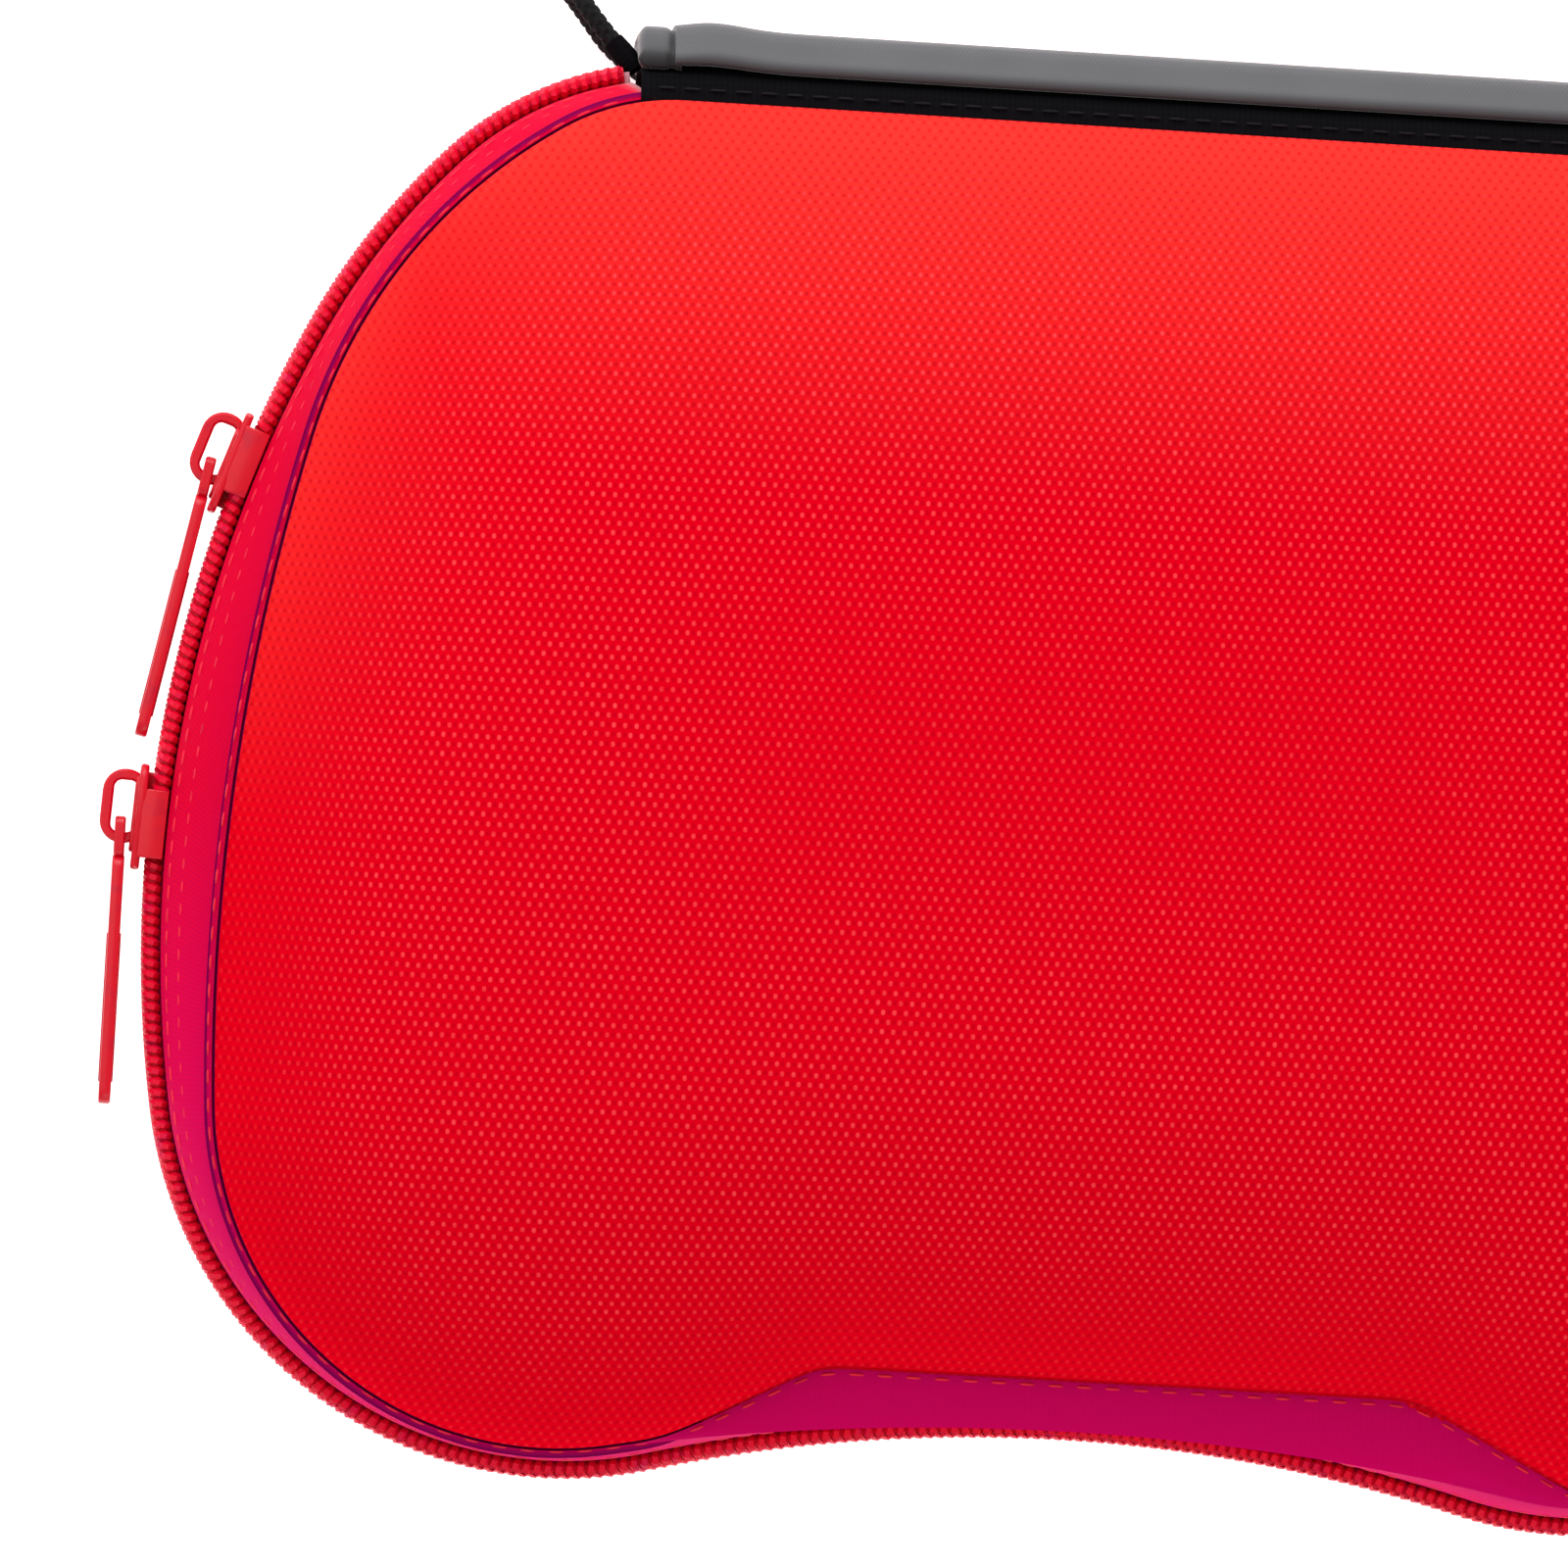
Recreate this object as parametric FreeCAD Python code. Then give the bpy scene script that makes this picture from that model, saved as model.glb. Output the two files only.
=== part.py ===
import FreeCAD, Part
import math
import os

# A zip-around moulded carry case lying on its back shell, in millimetres.
# X is its width, Y runs from the front edge to the hinge and carry strap, Z points up
# out of the lid. The origin is the centre of the flat face that the case rests on.

V = FreeCAD.Vector
X_AXIS = V(1, 0, 0)
Z_AXIS = V(0, 0, 1)

# ---------------------------------------------------------------- driving dimensions
PARTING_Z = 34.0        # height of the plane where the two halves meet
RIM_H = 10.0            # from the parting plane to the foot of each moulded dome
LID_DOME_H = 22.0       # dome height above its foot, lid
BASE_DOME_H = 24.0      # dome height above its foot, base
CROWN_R = 260.0         # radius of the lid's gentle crown, about an axis along X
FOOT_Z = PARTING_Z + RIM_H
FAR = 150.0             # further out than any part of the case
CROWN_Y = -15.0         # where that crown is highest
CROWN_SPARE = 1.3       # the wall is drawn this much too high, and the crown trims it
SHELL_T = 4.5           # laminated wall: moulded foam with its bonded outer fabric
LINING_T = 0.8          # inner fabric
# the dome's wall: how far in each level is, and what part of the dome's height it has
OUTER_CURVE = [(0.8, 0.222), (3.0, 0.423), (7.0, 0.624), (13.0, 0.805), (21.5, 1.0)]
SKIN_GAP = 0.05         # between bonded layers of one half

# Each outline is a closed chain of tangent arcs, the same on both sides of X = 0.
# side: widest half width, arc radius, height of the arc's centre and its two end angles.
ZIP = dict(x_max=96.7, r_side=132.0, y_side=-14.7, low=-10.0, r_lobe=43.0,
           y_notch=-66.3, up=26.0, r_shoulder=73.5, bend=44.0, r_corner=33.7)
FOOT = dict(x_max=88.5, r_side=220.0, y_side=-21.5, low=-4.0, r_lobe=35.0,
            y_notch=-64.5, up=14.0, r_shoulder=54.0, bend=57.5, r_corner=22.8)

# recess at the front of each dome: a flat ledge between two slanted cheeks
LEDGE_Y = -59.4
LEDGE_X = (-27.0, 34.5)
CHEEK_X = (-49.5, 54.5)
CHEEK_Y = -70.0

# zip
COIL_W = 2.3            # thickness of the coil, across the tape
COIL_GAP = 0.7          # from the parting plane to each row
COIL_TOP = 2.9          # far edge of each row from the parting plane
TAPE_T = 1.0
TAPE_KNEE = 4.9         # the tape stands upright this far, then slopes to the dome's foot
TAPE_TOP = 9.2
SHELL_EDGE = 5.5        # raw edge of each shell, from the parting plane
TAPE_INSET = COIL_W + 0.05
SHELL_INSET = 3.6       # rim of the shell, behind the tape
FOOT_STEP = 1.4         # how far the rim is set back under the dome's foot
BINDING_T = 0.55

# inside of the case
POCKET_RISE = 2.0       # over the plane of the dome's foot
POCKET_T = 0.8
HEM = dict(half_x=66.0, y=(16.1, 22.0), rise=(1.4, 3.4))
HOLD_T = 1.2
HOLD_ARCH = 2.2
HOLD_Y = (-24.0, 1.0)

# hinge and strap
HINGE_Y = 72.2          # outer face of the spine, on both fold lines
SPINE_W = 16.0          # between the two fold lines
SPINE_HALF_X = 50.4
OPEN_HALF_X = 51.5      # the tapes stop here, either side of the spine
SPINE_T = 1.0
STRAP_T = 3.2
STRAP_HALF_X = 47.7
STRAP_HALF_Z = 7.0

# sliders
SLIDER_L = 10.8
SLIDER_HALF_W = 4.4
SLIDER_TAIL_W = 3.5
PLATE_T = 0.9
PLATE_GAP = 0.25
LOWER_ANGLE = 2.9       # place on the side arc, degrees above its centre
UPPER_ANGLE = 19.0
NOSE_TAPER = 0.6        # the plates narrow by this much at the nose
NOSE_SHARE = 0.2        # where they are widest, as a share of half the length
WEDGE_BACK = 2.4        # middle of the wedge, back from the nose
WEDGE_HALF = (1.6, 0.45)
FLANGE_HALF_L = 2.6
FLANGE_REACH = 0.9
FLANGE_EDGE = (-0.3, 0.5)   # the flange in Z, from the tail's half width outwards
INNER_GAP = 0.3         # from the tape to the inner plate
OVERLAP = 0.1           # parts of one solid run into each other by this much
ARCH_L = 7.6
ARCH_H = 3.6
ARCH_WIRE = 1.15
ARCH_W = 2.0
ARCH_ROUND = (2.4, 0.8)  # outer and inner corner radii of the arch
ARCH_SHIFT = 0.9        # the arch sits this far up from the slider's middle
PIVOT_OUT = 2.6         # hinge line of the pull, out from the chain
PIVOT_DOWN = 1.6        # and down from the arch's middle
PULL_L = 28.8
PULL_T = 1.1
PULL_W = 4.6
EYE_W = 4.0
EYE_SLOT = 2.6
EYE_L = 3.7
EYE_END = 0.2           # the slot stops this far short of the tab
TIP_ROUND = 1.6
UPPER_PULL_REST = 8.0   # degrees that each pull leans in from its slider's line
LOWER_PULL_REST = 2.9

# hanging cord
CORD_D = 2.0
CORD_ROUTE = [
    (-52.8, 73.0, 32.0), (-56.2, 76.7, 31.6), (-58.6, 80.7, 29.0), (-60.8, 84.0, 22.5),
    (-61.4, 84.9, 14.0), (-60.3, 83.3, 6.5), (-56.3, 79.2, 1.9), (-52.1, 73.9, 1.05),
    (-44.5, 70.0, 1.05), (-30.0, 71.6, 1.05), (-14.0, 69.0, 1.05), (3.0, 71.4, 1.05),
    (21.0, 69.4, 1.05), (37.1, 70.7, 1.05), (41.9, 66.3, 1.05), (41.6, 59.9, 1.05),
    (37.0, 55.4, 1.05), (26.0, 56.8, 1.05), (10.0, 55.2, 1.05), (-8.0, 57.6, 1.05),
    (-25.0, 56.4, 1.05), (-38.0, 60.2, 1.05), (-45.3, 65.8, 1.4), (-48.6, 69.4, 6.0),
    (-49.6, 70.6, 14.0), (-49.5, 70.3, 21.8),
]


# ------------------------------------------------------------------------- outlines
def unit(angle):
    """Unit vector at an angle in degrees, in the XY plane."""
    return V(math.cos(math.radians(angle)), math.sin(math.radians(angle)), 0)


def outline_arcs(shape):
    """Centres, radii and end angles of the right-hand arcs, from the notch to the top."""
    side = V(shape["x_max"] - shape["r_side"], shape["y_side"], 0)
    lobe = side + unit(shape["low"]) * (shape["r_side"] - shape["r_lobe"])
    drop = lobe.y - shape["y_notch"]
    r_lobe = shape["r_lobe"]
    r_notch = (lobe.x ** 2 + drop ** 2 - r_lobe ** 2) / (2 * (r_lobe - drop))
    notch = V(0, shape["y_notch"] - r_notch, 0)
    meet = math.degrees(math.atan2(lobe.y - notch.y, lobe.x - notch.x))
    shoulder = side + unit(shape["up"]) * (shape["r_side"] - shape["r_shoulder"])
    corner = shoulder + unit(shape["bend"]) * (shape["r_shoulder"] - shape["r_corner"])
    return [
        (notch, -r_notch, 90, meet),
        (lobe, r_lobe, meet - 180, shape["low"]),
        (side, shape["r_side"], shape["low"], shape["up"]),
        (shoulder, shape["r_shoulder"], shape["up"], shape["bend"]),
        (corner, shape["r_corner"], shape["bend"], 90),
    ]


def arc_edge(centre, radius, start, end, z, side):
    """One arc of an outline at height z; side -1 mirrors it to the left."""
    def place(angle):
        point = centre + unit(angle) * radius
        return V(side * point.x, point.y, z)
    points = [place(start), place((start + end) / 2), place(end)]
    if side < 0:
        points.reverse()
    return Part.Arc(*points).toShape(), points[0], points[-1]


def outline(shape, inset, z):
    """Closed wire of an outline drawn in by inset: every arc keeps its centre."""
    right = [(centre, abs(radius - inset), start, end)
             for centre, radius, start, end in outline_arcs(shape)]
    edges = [arc_edge(*arc, z, 1) for arc in right]
    top_right = edges[-1][2]
    top_left = V(-top_right.x, top_right.y, z)
    edges.append((Part.LineSegment(top_right, top_left).toShape(), top_right, top_left))
    edges += [arc_edge(*arc, z, -1) for arc in reversed(right)]
    return Part.Wire([edge for edge, _, _ in edges])


def stack(levels):
    """Solid through outlines stacked in Z: levels are (outline, inset, height)."""
    return Part.makeLoft([outline(*level) for level in levels], True, True)


def box(x0, x1, y0, y1, z0, z1):
    """Box between two corners."""
    return Part.makeBox(x1 - x0, y1 - y0, z1 - z0, V(x0, y0, z0))


def prism(points, z0, z1):
    """Polygon in XY, raised from z0 to z1."""
    ring = [V(x, y, z0) for x, y in points]
    return Part.Face(Part.makePolygon(ring + ring[:1])).extrude(V(0, 0, z1 - z0))


def mirrored(solid):
    """The same piece on the base half."""
    return solid.mirror(V(0, 0, PARTING_Z), Z_AXIS)


# --------------------------------------------------------------------- moulded halves


def recess(depth, z0):
    """Space in front of the ledge and its cheeks, grown by depth into the case."""
    y = LEDGE_Y + depth
    left = LEDGE_X[0] - 0.45 * depth
    right = LEDGE_X[1] + 0.45 * depth
    return prism([(CHEEK_X[0] - depth, -FAR), (CHEEK_X[0] - depth, CHEEK_Y + 0.6 * depth),
                  (left, y), (right, y),
                  (CHEEK_X[1] + depth, CHEEK_Y + 0.6 * depth), (CHEEK_X[1] + depth, -FAR)],
                 z0, FAR)


def half_solid(height, depth, crowned):
    """Everything inside the surface that lies depth below the outer face of one half."""
    knee_z = PARTING_Z + TAPE_KNEE
    levels = [(ZIP, SHELL_INSET + depth, knee_z), (FOOT, FOOT_STEP + depth, FOOT_Z - 0.6)]
    if depth == 0:
        levels.append((FOOT, 0, FOOT_Z - 0.1))
    levels += [(FOOT, dome_inset(inset, depth), dome_z(height, part, depth))
               for inset, part in OUTER_CURVE]
    if crowned:
        levels[-1] = levels[-1][:2] + (levels[-1][2] + CROWN_SPARE,)
    solid = stack(levels)
    if crowned:
        centre = V(-FAR, CROWN_Y, FOOT_Z + height - CROWN_R)
        solid = solid.common(Part.makeCylinder(CROWN_R - depth, 2 * FAR, centre, X_AXIS))
    return solid.cut(recess(depth, FOOT_Z - depth))


def dome_inset(inset, depth):
    """Inset of one level of the dome's wall: the wall's thickness fades out at the top."""
    return inset + depth * (1 - inset / OUTER_CURVE[-1][0])


def dome_z(height, part, depth):
    """Height of one level: depth below the outer face, more so where the dome is flat."""
    return FOOT_Z + height * part - depth * part


def shell_band(height, near, far, z0, z1, crowned):
    """Part of the wall between two depths and two heights."""
    wall = half_solid(height, near, crowned).cut(half_solid(height, far, crowned))
    return wall.common(box(-FAR, FAR, -FAR, FAR, z0, z1))


def make_shell(height, crowned):
    """Moulded foam shell with its bonded outer fabric."""
    return shell_band(height, 0, SHELL_T, PARTING_Z + SHELL_EDGE, FAR, crowned)


def make_lining(height, crowned):
    """Inner fabric, bonded to the inside of the shell."""
    near = SHELL_T + SKIN_GAP
    return shell_band(height, near, near + LINING_T, PARTING_Z + SHELL_EDGE, FAR, crowned)


def make_rim_binding(height, crowned):
    """Bias tape folded round the raw edge of the shell, on its inner side."""
    edge_z = PARTING_Z + SHELL_EDGE - SKIN_GAP
    inner = SHELL_T + LINING_T + 3 * SKIN_GAP
    under = shell_band(height, 0.6, inner + BINDING_T, edge_z - BINDING_T, edge_z, crowned)
    upright = shell_band(height, inner, inner + BINDING_T, edge_z, edge_z + 3.0, crowned)
    return under.fuse(upright).removeSplitter()


def tape_solid(inset):
    """Space inside the zip tape's face: upright beside the coil, then up to the foot."""
    return stack([(ZIP, TAPE_INSET + inset, PARTING_Z + COIL_GAP),
                  (ZIP, TAPE_INSET + inset, PARTING_Z + TAPE_KNEE),
                  (FOOT, 0.1 + inset, PARTING_Z + TAPE_TOP)])


def spine_window(half_x):
    """Stretch at the hinge edge where the tape and coil are left out."""
    return box(-half_x, half_x, 40, FAR, -FAR, FAR)


def make_zip_tape():
    """Woven tape all round one half, open at the spine."""
    band = tape_solid(0).cut(tape_solid(TAPE_T))
    return band.cut(spine_window(OPEN_HALF_X))


def make_zip_teeth():
    """One row of the coil, drawn as its envelope."""
    z0 = PARTING_Z + COIL_GAP
    z1 = PARTING_Z + COIL_TOP
    row = stack([(ZIP, 0, z0), (ZIP, 0, z1)]).cut(stack([(ZIP, COIL_W, z0), (ZIP, COIL_W, z1)]))
    return row.cut(spine_window(OPEN_HALF_X + 0.5))


def make_spine_flap():
    """Black flap that joins one rim to the spine's fold line."""
    fold_z = PARTING_Z + SPINE_W / 2
    band = tape_solid(0).cut(tape_solid(TAPE_T))
    low = PARTING_Z + SHELL_EDGE + 0.1
    band = band.common(box(-SPINE_HALF_X, SPINE_HALF_X, 40, FAR, low, FAR))
    shelf = box(-SPINE_HALF_X, SPINE_HALF_X, 68.0, HINGE_Y - 0.1, fold_z + 0.2, fold_z + 1.2)
    return band.fuse(shelf).removeSplitter()


def make_zip_end_tab(side):
    """Folded fabric tab over the end of the chain, on the base half."""
    x0 = side * (OPEN_HALF_X - 0.9)
    x1 = side * (OPEN_HALF_X + 0.4)
    z1 = PARTING_Z - COIL_GAP
    return box(min(x0, x1), max(x0, x1), 69.8, 71.9, z1 - 2.6, z1)


# ------------------------------------------------------------------- inside the case
def make_mesh_pocket():
    """Mesh panel across the lid, open on the hinge side."""
    points = [(-66, 16), (-72, -2), (-74, -30), (-66, -42), (-52, -46),
              (52, -46), (66, -42), (74, -30), (72, -2), (66, 16)]
    return prism(points, FOOT_Z + POCKET_RISE, FOOT_Z + POCKET_RISE + POCKET_T)


def make_pocket_hem():
    """Elastic along the pocket's open edge."""
    return box(-HEM["half_x"], HEM["half_x"], *HEM["y"],
               *(FOOT_Z + rise for rise in HEM["rise"]))


def make_holding_strap():
    """Elastic strap across the floor of the base, arched a little off the lining."""
    floor = SHELL_T + LINING_T + 2 * SKIN_GAP + 0.1
    path = [(-52, floor), (-44, floor), (-36, floor + HOLD_ARCH), (36, floor + HOLD_ARCH),
            (44, floor), (52, floor)]
    lower = [V(x, HOLD_Y[0], z) for x, z in path]
    upper = [V(x, HOLD_Y[0], z + HOLD_T) for x, z in reversed(path)]
    face = Part.Face(Part.makePolygon(lower + upper + lower[:1]))
    return face.extrude(V(0, HOLD_Y[1] - HOLD_Y[0], 0))


# ---------------------------------------------------------------------- spine and strap
def make_spine_strip():
    """Black fabric spine between the two fold lines."""
    half = SPINE_W / 2 - 0.2
    return box(-SPINE_HALF_X, SPINE_HALF_X, HINGE_Y - SPINE_T, HINGE_Y,
               PARTING_Z - half, PARTING_Z + half)


def make_spine_stiffener():
    """Stiff strip behind the spine fabric."""
    back = HINGE_Y - SPINE_T - SKIN_GAP
    return box(-48, 48, back - 1.2, back, PARTING_Z - 6, PARTING_Z + 6)


def make_strap_tab(side):
    """Folded end of the carry strap, box stitched to the spine."""
    x0 = side * (STRAP_HALF_X + 0.3)
    x1 = side * OPEN_HALF_X
    tab = box(min(x0, x1), max(x0, x1), HINGE_Y + SKIN_GAP, HINGE_Y + 3.9,
              PARTING_Z - STRAP_HALF_Z, PARTING_Z + STRAP_HALF_Z)
    return tab.makeFillet(0.9, [edge for edge in tab.Edges if edge.BoundBox.YMin > HINGE_Y + 3])


def strap_section(grow):
    """Rounded section of the padded strap in the YZ plane, as a block along X."""
    y0 = HINGE_Y + 0.4 + grow
    y1 = y0 + STRAP_T - 2 * grow
    half = STRAP_HALF_Z - grow
    block = box(-STRAP_HALF_X + grow, STRAP_HALF_X - grow, y0, y1,
                PARTING_Z - half, PARTING_Z + half)
    long_edges = [edge for edge in block.Edges if edge.BoundBox.XLength > 50]
    return block.makeFillet((STRAP_T - 2 * grow) * 0.45, long_edges)


def make_strap_cover():
    """Outer fabric of the padded carry strap."""
    return strap_section(0).cut(strap_section(0.7))


def make_strap_core():
    """Foam core of the strap."""
    return strap_section(0.75)


# ------------------------------------------------------------------------------ sliders
CHAIN_X = -ZIP["x_max"]                 # outer face of the chain where the side is widest
ARC_CENTRE = V(-(ZIP["x_max"] - ZIP["r_side"]), ZIP["y_side"], PARTING_Z)


def on_chain(solid, angle):
    """Carry a piece drawn at the side's widest point up along the side arc."""
    solid.rotate(ARC_CENTRE, Z_AXIS, -angle)
    return solid


def plate(x0, front):
    """One plate of the slider, wider at its front, where the two rows part."""
    half = SLIDER_L / 2
    y = ZIP["y_side"]
    corners = [(-half * front, SLIDER_TAIL_W), (half * front * NOSE_SHARE, SLIDER_HALF_W),
               (half * front, SLIDER_HALF_W - NOSE_TAPER)]
    ring = [V(x0, y + along, PARTING_Z + wide) for along, wide in corners]
    ring += [V(x0, y + along, PARTING_Z - wide) for along, wide in reversed(corners)]
    return Part.Face(Part.makePolygon(ring + ring[:1])).extrude(V(PLATE_T, 0, 0))


def make_slider(front, angle):
    """Body, flange, wedge and arch of one slider; front is +1 where it faces up."""
    y = ZIP["y_side"]
    outer = CHAIN_X - PLATE_GAP
    inner = CHAIN_X + TAPE_INSET + TAPE_T + INNER_GAP
    body = plate(outer - PLATE_T, front).fuse(plate(inner, front))
    wedge_y = y + front * (SLIDER_L / 2 - WEDGE_BACK)
    wedge_l, wedge_z = WEDGE_HALF
    wedge = box(outer - OVERLAP, inner + OVERLAP, wedge_y - wedge_l, wedge_y + wedge_l,
                PARTING_Z - wedge_z, PARTING_Z + wedge_z)
    low, high = (PARTING_Z - SLIDER_TAIL_W - edge for edge in reversed(FLANGE_EDGE))
    flange = box(outer - OVERLAP, outer + FLANGE_REACH, y - FLANGE_HALF_L, y + FLANGE_HALF_L,
                 low, high)
    body = body.fuse(wedge).fuse(flange).fuse(arch(outer - PLATE_T, y + ARCH_SHIFT))
    return on_chain(body.removeSplitter(), angle)


def arch(root_x, y):
    """D-shaped bridge that the pull hangs from."""
    def loop(inset, round_r):
        block = box(root_x - ARCH_H + inset, root_x + OVERLAP, y - ARCH_L / 2 + inset,
                    y + ARCH_L / 2 - inset, PARTING_Z - ARCH_W / 2, PARTING_Z + ARCH_W / 2)
        far_edges = [edge for edge in block.Edges
                     if edge.BoundBox.XMax < root_x - ARCH_H + inset + 0.01
                     and edge.BoundBox.ZLength > ARCH_W * 0.9]
        return block.makeFillet(round_r, far_edges)
    return loop(0, ARCH_ROUND[0]).cut(loop(ARCH_WIRE, ARCH_ROUND[1]))


def pull_pivot():
    """Hinge line of a pull, at the lower end of its arch, before it goes to its place."""
    return V(CHAIN_X - PIVOT_OUT, ZIP["y_side"] + ARCH_SHIFT - PIVOT_DOWN, PARTING_Z)


def make_pull(lean, angle):
    """Flat pull with a slotted eye whose end bar passes through the arch."""
    pivot = pull_pivot()
    back = PULL_T / 2
    eye = box(pivot.x - back, pivot.x + back, pivot.y - EYE_L, pivot.y + back,
              PARTING_Z - EYE_W / 2, PARTING_Z + EYE_W / 2)
    slot = box(pivot.x - 2, pivot.x + 2, pivot.y - EYE_L + EYE_END, pivot.y - back,
               PARTING_Z - EYE_SLOT / 2, PARTING_Z + EYE_SLOT / 2)
    tab = box(pivot.x - back, pivot.x + back, pivot.y - PULL_L, pivot.y - EYE_L + OVERLAP,
              PARTING_Z - PULL_W / 2, PARTING_Z + PULL_W / 2)
    tip = [edge for edge in tab.Edges
           if edge.BoundBox.YMax < pivot.y - PULL_L + 0.01 and edge.BoundBox.XLength > 0.5]
    solid = eye.cut(slot).fuse(tab.makeFillet(TIP_ROUND, tip)).removeSplitter()
    solid.rotate(pivot, Z_AXIS, lean)
    return on_chain(solid, angle)


# --------------------------------------------------------------------------- the cord
def make_cord():
    """Round cord: straight runs joined by arcs as large as the runs allow."""
    points = [V(*point) for point in CORD_ROUTE]
    start = points[0]
    edges = []
    radii = []
    for before, corner, after in zip(points, points[1:], points[2:]):
        back = before - corner
        ahead = after - corner
        take = 0.45 * min(back.Length, ahead.Length)
        half_turn = (math.pi - back.getAngle(ahead)) / 2
        radius = take / math.tan(half_turn)
        radii.append(round(radius, 1))
        back.normalize()
        ahead.normalize()
        first = corner + back * take
        last = corner + ahead * take
        inward = back + ahead
        inward.normalize()
        middle = corner + inward * (radius / math.cos(half_turn) - radius)
        edges.append(Part.LineSegment(start, first).toShape())
        edges.append(Part.Arc(first, middle, last).toShape())
        start = last
    edges.append(Part.LineSegment(start, points[-1]).toShape())
    path = Part.Wire(edges)
    ring = Part.Circle(points[0], points[1] - points[0], CORD_D / 2).toShape()
    tube = path.makePipeShell([Part.Wire(ring)], True, False)
    expected = math.pi * CORD_D ** 2 / 4 * path.Length
    print("cord length", round(path.Length, 1), "bend radii", radii)
    print("cord volume", round(tube.Volume, 1), "expected", round(expected, 1))
    return tube


# --------------------------------------------------------------------------- all nodes
def build():
    """Every node by name."""
    nodes = {
        "lid_shell": make_shell(LID_DOME_H, True),
        "lid_lining": make_lining(LID_DOME_H, True),
        "lid_rim_binding": make_rim_binding(LID_DOME_H, False),
        "base_shell": mirrored(make_shell(BASE_DOME_H, False)),
        "base_lining": mirrored(make_lining(BASE_DOME_H, False)),
        "base_rim_binding": mirrored(make_rim_binding(BASE_DOME_H, False)),
        "lid_zip_tape": make_zip_tape(),
        "lid_zip_teeth": make_zip_teeth(),
        "lid_spine_flap": make_spine_flap(),
        "zip_end_tab_left": make_zip_end_tab(-1),
        "zip_end_tab_right": make_zip_end_tab(1),
        "mesh_pocket": make_mesh_pocket(),
        "pocket_elastic": make_pocket_hem(),
        "holding_strap": make_holding_strap(),
        "spine_strip": make_spine_strip(),
        "spine_stiffener": make_spine_stiffener(),
        "strap_tab_left": make_strap_tab(-1),
        "strap_tab_right": make_strap_tab(1),
        "strap_cover": make_strap_cover(),
        "strap_core": make_strap_core(),
        "lower_slider": make_slider(1, LOWER_ANGLE),
        "upper_slider": make_slider(-1, UPPER_ANGLE),
        "lower_pull": make_pull(LOWER_PULL_REST, LOWER_ANGLE),
        "upper_pull": make_pull(UPPER_PULL_REST, UPPER_ANGLE),
        "hang_cord": make_cord(),
    }
    for name in ("zip_tape", "zip_teeth", "spine_flap"):
        nodes["base_" + name] = mirrored(nodes["lid_" + name])
    return nodes


def joint_places():
    """Points on the joint axes, for the record."""
    places = {"arc_centre": ARC_CENTRE}
    for name, angle in (("lower", LOWER_ANGLE), ("upper", UPPER_ANGLE)):
        turn = FreeCAD.Rotation(Z_AXIS, -angle)
        places[name + "_pivot"] = ARC_CENTRE + turn.multVec(pull_pivot() - ARC_CENTRE)
    return places


os.makedirs("parts", exist_ok=True)
for name, shape in sorted(build().items()):
    shape.exportStep("parts/" + name + ".step")
    print(name, shape.isValid(), len(shape.Solids), round(shape.Volume, 1), shape.BoundBox)
for name, place in joint_places().items():
    print(name, [round(value, 3) for value in place])
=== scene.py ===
# %% [markdown]
# # A moulded zip-around carry case
# The case lies on its back shell. Its size, its joints and the place of every piece come
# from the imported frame. This file makes what is seen: the woven fabric pressed over foam
# shells, the zip with its coil and sliders, the black spine, the padded strap and the cord.
# Outlines are written in millimetres, because that is how a case maker would write them.

# %% Load the frame
import math

import bpy
import numpy as np
from mathutils import Matrix


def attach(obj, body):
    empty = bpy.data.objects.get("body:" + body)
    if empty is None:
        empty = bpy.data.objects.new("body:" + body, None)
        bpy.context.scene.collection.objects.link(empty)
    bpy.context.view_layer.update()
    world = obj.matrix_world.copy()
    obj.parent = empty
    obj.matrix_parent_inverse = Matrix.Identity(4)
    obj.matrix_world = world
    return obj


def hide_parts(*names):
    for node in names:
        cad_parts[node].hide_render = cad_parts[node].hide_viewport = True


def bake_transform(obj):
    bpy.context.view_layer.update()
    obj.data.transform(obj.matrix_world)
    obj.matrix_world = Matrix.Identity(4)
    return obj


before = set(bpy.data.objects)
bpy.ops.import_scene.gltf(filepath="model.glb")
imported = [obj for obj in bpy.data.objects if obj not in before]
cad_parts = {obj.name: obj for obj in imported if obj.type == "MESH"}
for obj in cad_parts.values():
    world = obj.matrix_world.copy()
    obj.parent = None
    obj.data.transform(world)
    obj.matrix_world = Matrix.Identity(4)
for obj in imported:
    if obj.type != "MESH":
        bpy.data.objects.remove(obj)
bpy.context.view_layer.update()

MM = 0.001

# %% [markdown]
# ## Two helpers for meshes
# Every new piece is a set of points worked out with numpy and a list of faces. A surface
# drawn on a grid needs only one rule for its faces, so one helper makes them, and another
# puts points, faces, a UV map and a material into a Blender object.

# %% Meshes from arrays
def grid_faces(rows, cols, wrap=False):
    """Quads of a grid of rows by cols points; wrap joins the last column to the first."""
    across = cols if wrap else cols - 1
    row, col = np.meshgrid(np.arange(rows - 1), np.arange(across), indexing="ij")
    near = row * cols + col
    far = row * cols + (col + 1) % cols
    return np.stack([near, far, far + cols, near + cols], axis=-1).reshape(-1, 4)


def signed_volume(points, face_sets):
    """Volume inside the faces: positive when they point outwards."""
    total = 0.0
    for faces in face_sets:
        corner = points[faces[:, 0]]
        for step in range(1, faces.shape[1] - 1):
            crossed = np.cross(points[faces[:, step]], points[faces[:, step + 1]])
            total += np.einsum("ij,ij->", corner, crossed) / 6
    return total


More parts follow.
